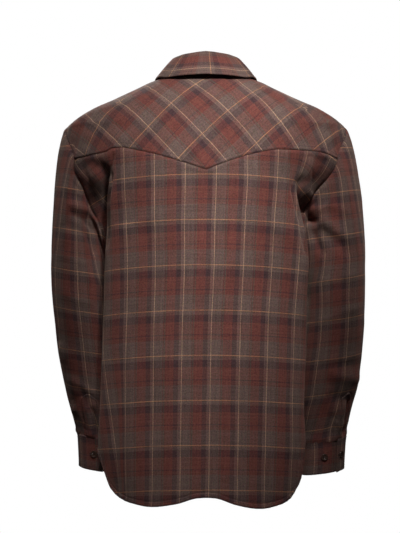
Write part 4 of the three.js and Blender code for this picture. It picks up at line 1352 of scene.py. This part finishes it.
# collar: turn, lean, tall of the stand; turn, x, y, z of the fall's edge
standRise = [(0, 12, 29), (0.25, 13, 26), (0.5, 15, 23), (0.75, 7, 25), (1, 1, 29)]
fallEdge = [
    (0, 0, 80, 2), (0.16, 38, 75, 0.5), (0.3, 70, 56, -1.5), (0.4, 86, 30, 1.5), (0.5, 93, -4, 2),
    (0.62, 97, -38, -13), (0.75, 95, -66, -49), (0.88, 82, -85, -78), (1, 62, -98, -96),
]
# how the cloth rolls over from the stand: step, outwards, up
rollProfile = [(0, 0, 0.8), (1, 0.2, 3.4), (2, 2, 5.3), (3, 4.2, 5.4), (4, 6, 3.6), (5, 7, 0.4)]
collarPiece = {
    "fallEnd": 0.95,
    "columns": 171,
    "rollRows": 16,
    "fallRows": 20,
    "standRows": 12,
    "edgeRidges": [(0.4, 2, 2.4), (-0.35, 6.5, 1.8)],
    "rumple": 0.5,
    # where the stand sits on the neck: inwards, up, and how far its ends pass each other
    "standIn": 0.6,
    "standUp": 0.75,
    "standCross": 1.6,
    "standShift": (0.1, 0.15),  # in repeats
    "fallPlaid": (14, -9),
}


# turn runs along the neck: 0 at the middle of the back, 1 and -1 at the centre front
def neckPoint(turn):
    far = np.abs(turn)
    side = np.where(turn < 0, -1, 1) * np.where(far > 1, -1, 1)
    atBack = far <= 0.5
    share = np.where(atBack, 2 * far, 1 - np.abs(2 - 2 * far))
    onBack, onFront = (
        bodyPoint(half, side * readLine(neck, 1, share), readLine(neck, 2, share))
        for half, neck in (("back", backNeck), ("front", frontNeck))
    )
    return np.where(atBack[..., None], onBack, onFront)


def neckOutward(turn):
    along = neckPoint(turn + 0.01) - neckPoint(turn - 0.01)
    return -unit(np.stack([along[..., 1], -along[..., 0], 0 * along[..., 0]], -1))


def standPoint(turn, t):
    far = np.minimum(np.abs(turn), 1)
    lean = readLine(standRise, 1, far) * t + collarPiece["standIn"]
    point = neckPoint(turn) - neckOutward(turn) * lean[..., None]
    point[..., 2] += readLine(standRise, 2, far) * t + collarPiece["standUp"]
    point[..., 1] -= collarPiece["standCross"] * np.sign(turn) * smooth(0.6, 0.94, far)
    return point


def fallPoint(turn, roll, share):
    root = standPoint(turn, 1)
    rise = unit(root - standPoint(turn, 0))
    outward = neckOutward(turn)
    outward = unit(outward - rise * (outward * rise).sum(-1, keepdims=True))
    root = lifted(root, outward, readLine(rollProfile, 1, roll))
    root = lifted(root, rise, readLine(rollProfile, 2, roll))
    far = np.abs(turn) / collarPiece["fallEnd"]
    x, y, z = (readLine(fallEdge, k, far) for k in (1, 2, 3))
    point = mix(root, np.stack([np.sign(turn) * x, y, z], -1), share[..., None])
    return lifted(point, outward, np.sin(math.pi * share))


def makeStand():
    end = 1 + cut["collarLap"]
    turns = np.linspace(-end, end, collarPiece["columns"])[:, None]
    t = np.linspace(0, 1, collarPiece["standRows"])[None, :]
    turns, t = turns + 0 * t, t + 0 * turns
    points = standPoint(turns, t)
    around = lengthsAlong(points, 0)
    warpShift, weftShift = collarPiece["standShift"]
    weft = (around - around[len(around) // 2]) / plaid["weftRepeat"] + weftShift
    cloth = np.stack([t * 0.5 + warpShift, weft], -1)
    return makeShell("collar_stand_band", points, cloth, cut["bandWall"])


def makeFall():
    end = collarPiece["fallEnd"]
    rollRows, fallRows = collarPiece["rollRows"], collarPiece["fallRows"]
    turns = np.linspace(-end, end, collarPiece["columns"])[:, None]
    roll = np.concatenate([np.linspace(0, 5, rollRows), np.full(fallRows, 5.0)])[None, :]
    share = np.linspace(0, 1, fallRows + 1)[1:]
    share = np.concatenate([np.zeros(rollRows), share])[None, :]
    points = fallPoint(turns + 0 * roll, roll + 0 * turns, share + 0 * turns)
    normals = normalsOf(points, False, False)
    around = lengthsAlong(points, 0)
    around = around - around[len(around) // 2]
    fromEdge = fromEnds(points, 1)[1]
    near = np.minimum(fromEdge, np.minimum(*fromEnds(points, 0)))
    warpLine, weftLine = collarPiece["fallPlaid"]
    weft = (weftLine - around[:, -1:] + 0 * fromEdge) / plaid["weftRepeat"]
    cloth = np.stack([(warpLine - fromEdge) / plaid["warpRepeat"], weft], -1)
    quiet = smooth(0, 12, near) * smooth(0, 1, share)
    swell = ridges(near, collarPiece["edgeRidges"]) + pucker(around, fromEdge - 4, 0.14, 9)
    swell += softNoise(points, 26, 2.2) * collarPiece["rumple"] * quiet
    return makeShell("collar_fall", lifted(points, normals, swell), cloth, cut["bandWall"])


stand, fall = makeStand(), makeFall()
print("collar made")

# sewing: a stitch is a small pillow that lies along its own line
sewing = {"pitch": 3.4, "stitch": 2.5, "wide": 0.42, "high": 0.36, "sink": 0.08}
# the places of its ten corners along, across and up, and its faces
pillowRing = [(a, b, c) for a in (-0.55, 0.55) for b, c in ((-1, 0), (0, 1), (1, 0), (0, -1))]
pillowCorners = [(-1, 0, 0)] + pillowRing + [(1, 0, 0)]
pillowFaces = [(1 + k, 1 + (k + 1) % 4, 5 + (k + 1) % 4, 5 + k) for k in range(4)]
pillowFaces += [(0, 1 + (k + 1) % 4, 1 + k) for k in range(4)]
pillowFaces += [(9, 5 + k, 5 + (k + 1) % 4) for k in range(4)]


def pillows(middle, along, up, half):
    across = np.cross(along, up)
    corners = []
    for a, b, c in pillowCorners:
        rise = up * (c * sewing["high"] + sewing["sink"])
        corners.append(middle + along * a * half + across * b * sewing["wide"] + rise)
    first = np.arange(len(middle)) * len(pillowCorners)
    faces = [tuple(i + v for v in face) for i in first.tolist() for face in pillowFaces]
    return np.stack(corners, 1).reshape(-1, 3), faces


# a row of stitches along a line on the cloth
def stitchRow(line, normals):
    lengths = lengthsAlong(line, 0)
    count = int(lengths[-1] / sewing["pitch"])
    centres = (np.arange(count) + 0.5) * lengths[-1] / count
    half = sewing["stitch"] / 2
    start, middle, end = (readAlong(line, lengths, centres + step) for step in (-half, 0, half))
    return pillows(middle, unit(end - start), unit(readAlong(normals, lengths, centres)), half)


def plainPiece(name, parts, material):
    vertices, faces, top = [], [], 0
    for points, polygons in parts:
        vertices.append(points)
        faces += [tuple(v + top for v in polygon) for polygon in polygons]
        top += len(points)
    piece = addPiece(name, np.concatenate(vertices), faces, material)
    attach(piece, "root")
    return piece


# the line that keeps a distance from one edge of a piece: rows run along axis 1
def besideEdge(name, edge, distance, first, last):
    points, normals = clothFaces[name]
    if edge in ("left", "right"):
        points, normals = points.transpose(1, 0, 2), normals.transpose(1, 0, 2)
    if edge in ("top", "right"):
        points, normals = points[:, ::-1], normals[:, ::-1]
    line, up = [], []
    for row, facing in zip(points[first:last], normals[first:last]):
        along = lengthsAlong(row, 0)
        line.append(readAlong(row, along, distance))
        up.append(readAlong(facing, along, distance))
    return np.array(line), np.array(up)


# piece, edge, distances in mm, first and last column of the line
def seamRows(piece, edges, distances, first, last):
    return [(piece, edge, distances, first, last) for edge in edges]


def frontSeams(side, first):
    piece = f"front_panel_{side}"
    bottom = seamRows(piece, ["bottom"], (6.5,), first, -1)
    return bottom + seamRows(piece, ["right"], (7.5,), 4, -4)


def cuffSeams(side):
    piece, distances = f"cuff_{side}_band", (2.2, 6.5)
    ends = seamRows(piece, ["left"], distances, 1, -1)
    return seamRows(piece, ["top", "bottom"], distances, 4, -4) + ends


seams = {
    "back": seamRows("back_panel", ["bottom"], (6.5,), 1, -1)
    + seamRows("back_panel", ["left", "right"], (2, 7.5), 4, -5),
    "yoke": seamRows("yoke_panel", ["top"], (1.8, 7.5), 1, -1)
    + seamRows("yoke_panel", ["bottom"], (2,), 1, -1),
    "front_left": frontSeams("left", 14),  # starts beside the placket
    "front_right": frontSeams("right", 1),
    "cuff_left": cuffSeams("left"),
    "cuff_right": cuffSeams("right"),
    "placket": seamRows("placket_band", ["left", "right"], (5.5,), 1, -1),
    "slit_left": seamRows("slit_band_left", ["left", "right", "top"], (1.8,), 1, -1),
    "slit_right": seamRows("slit_band_right", ["left", "right", "top"], (1.8,), 1, -1),
    "stand": seamRows("collar_stand_band", ["bottom"], (2,), 2, -2),
    "fall": seamRows("collar_fall", ["top"], (6.5,), 5, -5)
    + seamRows("collar_fall", ["left", "right"], (6.5,), 16, -3),
}
for label, rows in seams.items():
    parts = [
        stitchRow(*besideEdge(name, edge, distance, first, last))
        for name, edge, distances, first, last in rows
        for distance in distances
    ]
    plainPiece(f"topstitch_{label}", parts, sewingThread)
print("seams sewn")

# buttons with a dished face and four holes; lengths are shares of the radius or of the
# thickness, and the thread is in mm
buttonPiece = {
    "hole": 0.13,
    "holePlace": 0.24,
    "rings": (0.93, 0.84, 0.78, 0.68, 0.55),
    "dish": 0.3,
    "dishFade": (0.8, 0.6),
    "edgeRound": 0.14,
    "thread": 0.34,
}


def circle(radius, count, centre=(0, 0)):
    a = np.linspace(0, 2 * math.pi, count, endpoint=False)
    return np.stack([centre[0] + radius * np.cos(a), centre[1] + radius * np.sin(a)], -1)


# a flat disc with four holes, cut into triangles once and shaped for every button
def buttonPlan():
    h = buttonPiece["holePlace"]
    places = [(x, y) for x in (-h, h) for y in (-h, h)]
    loops = [circle(1, 40)] + [circle(buttonPiece["hole"], 10, place) for place in places]
    loops += [circle(r, 32) for r in buttonPiece["rings"]]
    edges, starts, top = [], [], 0
    for loop in loops:
        index = np.arange(len(loop)) + top
        edges += zip(index.tolist(), np.roll(index, -1).tolist())
        starts.append(index)
        top += len(loop)
    points = [Vector(p) for p in np.concatenate(loops)]
    found = geometry.delaunay_2d_cdt(points, edges, [], 0, 1e-6)
    plan, triangles = (np.array([part[:] for part in found[k]]) for k in (0, 2))
    middles = plan[triangles].mean(1)
    nearest = np.min([np.hypot(*(middles - place).T) for place in places], 0)
    return plan, triangles[nearest >= buttonPiece["hole"] * 0.9], starts[:5]


buttonFlat, buttonTriangles, buttonLoops = buttonPlan()


def makeButton(node):
    solid = np.array([v.co[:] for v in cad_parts[node].data.vertices]) * 1000
    centre = mix((solid.min(0) + solid.max(0)) / 2, solid.mean(0), 0.5)
    up = np.linalg.svd(solid - solid.mean(0), full_matrices=False)[2][2]
    # a point behind the button, which its face looks away from
    home = centre + (0, 50, 0)
    if "cuff" in node:
        side = 1 if centre[0] > 0 else -1
        outer, inner, front, rear = (
            readLine(sleeveRows[side], k, centre[2]) for k in (1, 2, 3, 4)
        )
        home = np.array([side * (outer + inner) / 2, (front + rear) / 2, centre[2]])
    up = up if np.dot(up, centre - home) > 0 else -up
    lift = (solid - centre) @ up
    low, high = lift.min(), lift.max()
    right = unit(np.cross(up, (0, 0, 1.0)))
    above = np.cross(right, up)
    radius = np.abs((solid - centre) @ right).max()
    dish, rounding = (buttonPiece[key] * (high - low) for key in ("dish", "edgeRound"))
    far = np.hypot(*buttonFlat.T)
    rounded = rounding * smooth(0.9, 1, far)
    top = high - dish * smooth(*buttonPiece["dishFade"], far) - 2 * rounded
    x, y = (buttonFlat * radius).T[..., None]
    vertices = np.concatenate(
        [centre + x * right + y * above + z[:, None] * up for z in (top, low + rounded)]
    )
    count = len(buttonFlat)
    faces = [tuple(t) for t in buttonTriangles] + [tuple(t[::-1] + count) for t in buttonTriangles]
    for number, loop in enumerate(buttonLoops):
        after = np.roll(loop, -1)
        wall = np.stack([loop, loop + count, after + count, after], -1)
        wall = wall if number == 0 else wall[:, ::-1]
        faces += [tuple(q) for q in wall]
    name = node.replace("button_", "horn_button_")
    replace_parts(plainPiece(name, [(vertices, faces)], buttonHorn), node)
    # two bars of thread, each from one hole over the face to the next
    h = buttonPiece["holePlace"] * radius
    arc = np.linspace(0, math.pi, 9)[:, None]
    bar = centre + h * np.cos(arc) * above + (high - dish - 0.5 + np.sin(arc) ** 0.6) * up
    parts = [tube(bar + x * right, buttonPiece["thread"], right) for x in (-h, h)]
    plainPiece(node.replace("button_", "button_thread_"), parts, sewingThread)
    if "spare" not in node:
        makeButtonhole(node, centre, radius, right, above)


# a worked slot in the cloth behind a button: close stitches on both sides and across each end
holePiece = {
    "spare": 1.6,
    "pitch": 0.85,
    "beside": 1.5,
    "half": 1.1,
    "endGap": 0.6,
    "endPlaces": (-1.6, -0.8, 0, 0.8, 1.6),
}
holeHost = {
    "front": "placket_band",
    "collar": "collar_stand_band",
    "left": "cuff_left_band",
    "right": "cuff_right_band",
}


def makeButtonhole(node, centre, radius, right, above):
    label = node.replace("button_cuff_", "")
    host = next(name for key, name in holeHost.items() if key in label)
    face, normals = (grid.reshape(-1, 3) for grid in clothFaces[host])
    along, across = (above, right) if "front" in node else (right, above)
    reach = radius + holePiece["spare"]
    places = np.arange(-reach, reach + 0.01, holePiece["pitch"])
    spots = [(a, side * holePiece["beside"], across) for side in (-1, 1) for a in places]
    far = reach + holePiece["endGap"]
    spots += [(end * far, b, along) for end in (-1, 1) for b in holePiece["endPlaces"]]
    rows = []
    for a, b, direction in spots:
        spot = centre + a * along + b * across
        near = ((face - spot) ** 2).sum(1).argmin()
        facing = normals[near]
        middle = spot - facing * np.dot(spot - face[near], facing)
        rows.append((middle, unit(direction - facing * np.dot(direction, facing)), facing))
    stitches = pillows(*np.array(rows).transpose(1, 0, 2), holePiece["half"])
    plainPiece(node.replace("button_", "buttonhole_"), [stitches], sewingThread)


def tube(line, radius, side, sides=8):
    second = unit(np.cross(unit(np.gradient(line, axis=0)), side))[:, None]
    a = np.linspace(0, 2 * math.pi, sides, endpoint=False)[:, None]
    rings = line[:, None] + radius * (np.cos(a) * side + np.sin(a) * second)
    index = np.arange(len(line) * sides).reshape(-1, sides)
    after = np.roll(index, -1, 1)
    quads = np.stack([index[:-1], after[:-1], after[1:], index[1:]], -1).reshape(-1, 4)
    return rings.reshape(-1, 3), quads.tolist() + [index[0, ::-1].tolist(), index[-1].tolist()]


for node in sorted(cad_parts):
    if node.startswith("button_"):
        makeButton(node)
print("buttons made")

# what each sheet replaces, the size it was cut to and its area, in metres
sheets = [
    (back, "back", (0.52, 0.66), 0.30),
    (yoke, "yoke", (0.56, 0.36), 0.13),
    (frontLeft, "front_left", (0.33, 0.74), 0.19),
    (frontRight, "front_right", (0.33, 0.74), 0.19),
    (sleeveLeft, "sleeve_left", (0.50, 0.60), 0.22),
    (sleeveRight, "sleeve_right", (0.50, 0.60), 0.22),
    (cuffLeft, "cuff_left", (0.29, 0.062), None),
    (cuffRight, "cuff_right", (0.29, 0.062), None),
    (placket, "placket", (0.035, 0.70), None),
    (slitLeft, "sleeve_placket_left", (0.023, 0.088), None),
    (slitRight, "sleeve_placket_right", (0.023, 0.088), None),
    (stand, "collar_stand", (0.45, 0.03), None),
    (fall, "collar", (0.48, 0.085), 0.034),
]
for piece, node, flat, area in sheets:
    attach(piece, "root")
    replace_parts(piece, node)

# studio: soft lamps that fade out below and to the sides
studio = {
    "lamps": [
        # name, place, aim, power, beam in degrees
        ("keyHigh", (-0.45, 2.1, 2.0), (-0.045, 0.1, -0.03), 390, 14.8),
        ("keyMiddle", (-0.15, 2.2, 1.9), (-0.02, 0.1, -0.36), 225, 9.6),
        ("keyLow", (-0.05, 2.3, 1.8), (0.015, 0.1, -0.64), 272, 7.7),
        ("floorBounce", (0.0, 2.2, -1.2), (0.0, 0.1, -0.82), 12, 13),
        ("sideLeft", (2.3, -0.7, 1.1), (0.2, 0, -0.28), 56, 25),
        ("sideRight", (-2.3, -0.7, 1.1), (-0.2, 0, -0.28), 60, 23),
        ("frontHigh", (0.4, -2.6, 1.5), (0, 0, -0.3), 250, 30),
    ],
    "lampSize": 0.2,
    "skyLight": 0.03,
    "floorHeight": -1.34,
    "floorReach": 2.4,
    "floorGlow": 0.78,
    "cameraPlace": (0.0112, 3.0, -0.349),
    "lens": 108.4,
}


def addThing(name, data, place):
    thing = bpy.data.objects.new(name, data)
    scene.collection.objects.link(thing)
    thing.location = place
    return thing


for name, place, aim, power, beam in studio["lamps"]:
    light = bpy.data.lights.new(name, "SPOT")
    light.energy = power
    light.shadow_soft_size = studio["lampSize"]
    light.spot_size = math.radians(beam)
    light.spot_blend = 1.0
    lamp = addThing(name, light, place)
    lamp.rotation_euler = (Vector(aim) - lamp.location).to_track_quat("-Z", "Y").to_euler()

world = bpy.data.worlds.new("paleRoom")
scene.world = world
world.use_nodes = True
w = Wiring(world.node_tree)
shown = w.add("Background", {"Color": (1, 1, 1, 1), "Strength": 1.0})
lit = w.add("Background", {"Color": (1, 0.99, 0.97, 1), "Strength": studio["skyLight"]})
seen = w.add("LightPath").outputs["Is Camera Ray"]
joined = w.add("MixShader", {0: seen, 1: lit.outputs[0], 2: shown.outputs[0]})
w.give(world.node_tree.nodes["World Output"].inputs[0], joined.outputs[0])

floorMesh = bpy.data.meshes.new("floor")
disc = np.pad(circle(studio["floorReach"], 64), ((0, 0), (0, 1)))
floorMesh.from_pydata(disc.tolist(), [], [list(range(64))])
floor = addThing("floor", floorMesh, (0, 0, studio["floorHeight"]))
paint = bpy.data.materials.new("paleFloor")
paint.use_nodes = True
w = Wiring(paint.node_tree)
grain = w.noise(w.add("TexCoord").outputs["Object"], 40.0, 4.0)
paintLook = {
    "Base Color": w.blend(grain, (0.12, 0.12, 0.12, 1), (0.16, 0.16, 0.155, 1)),
    "Roughness": 0.8,
    "Emission Color": (1, 1, 0.99, 1),
    "Emission Strength": w.math(
        "MULTIPLY", w.add("LightPath").outputs["Is Camera Ray"], studio["floorGlow"]
    ),
}
for label, value in paintLook.items():
    w.give(paint.node_tree.nodes["Principled BSDF"].inputs[label], value)
floorMesh.materials.append(paint)

camera = addThing("camera", bpy.data.cameras.new("camera"), studio["cameraPlace"])
camera.rotation_euler = (math.pi / 2, 0, math.pi)
camera.data.lens = studio["lens"]
camera.data.sensor_width = 36
scene.camera = camera
scene.view_settings.view_transform = "Standard"
scene.view_settings.look = "None"
print("studio set")
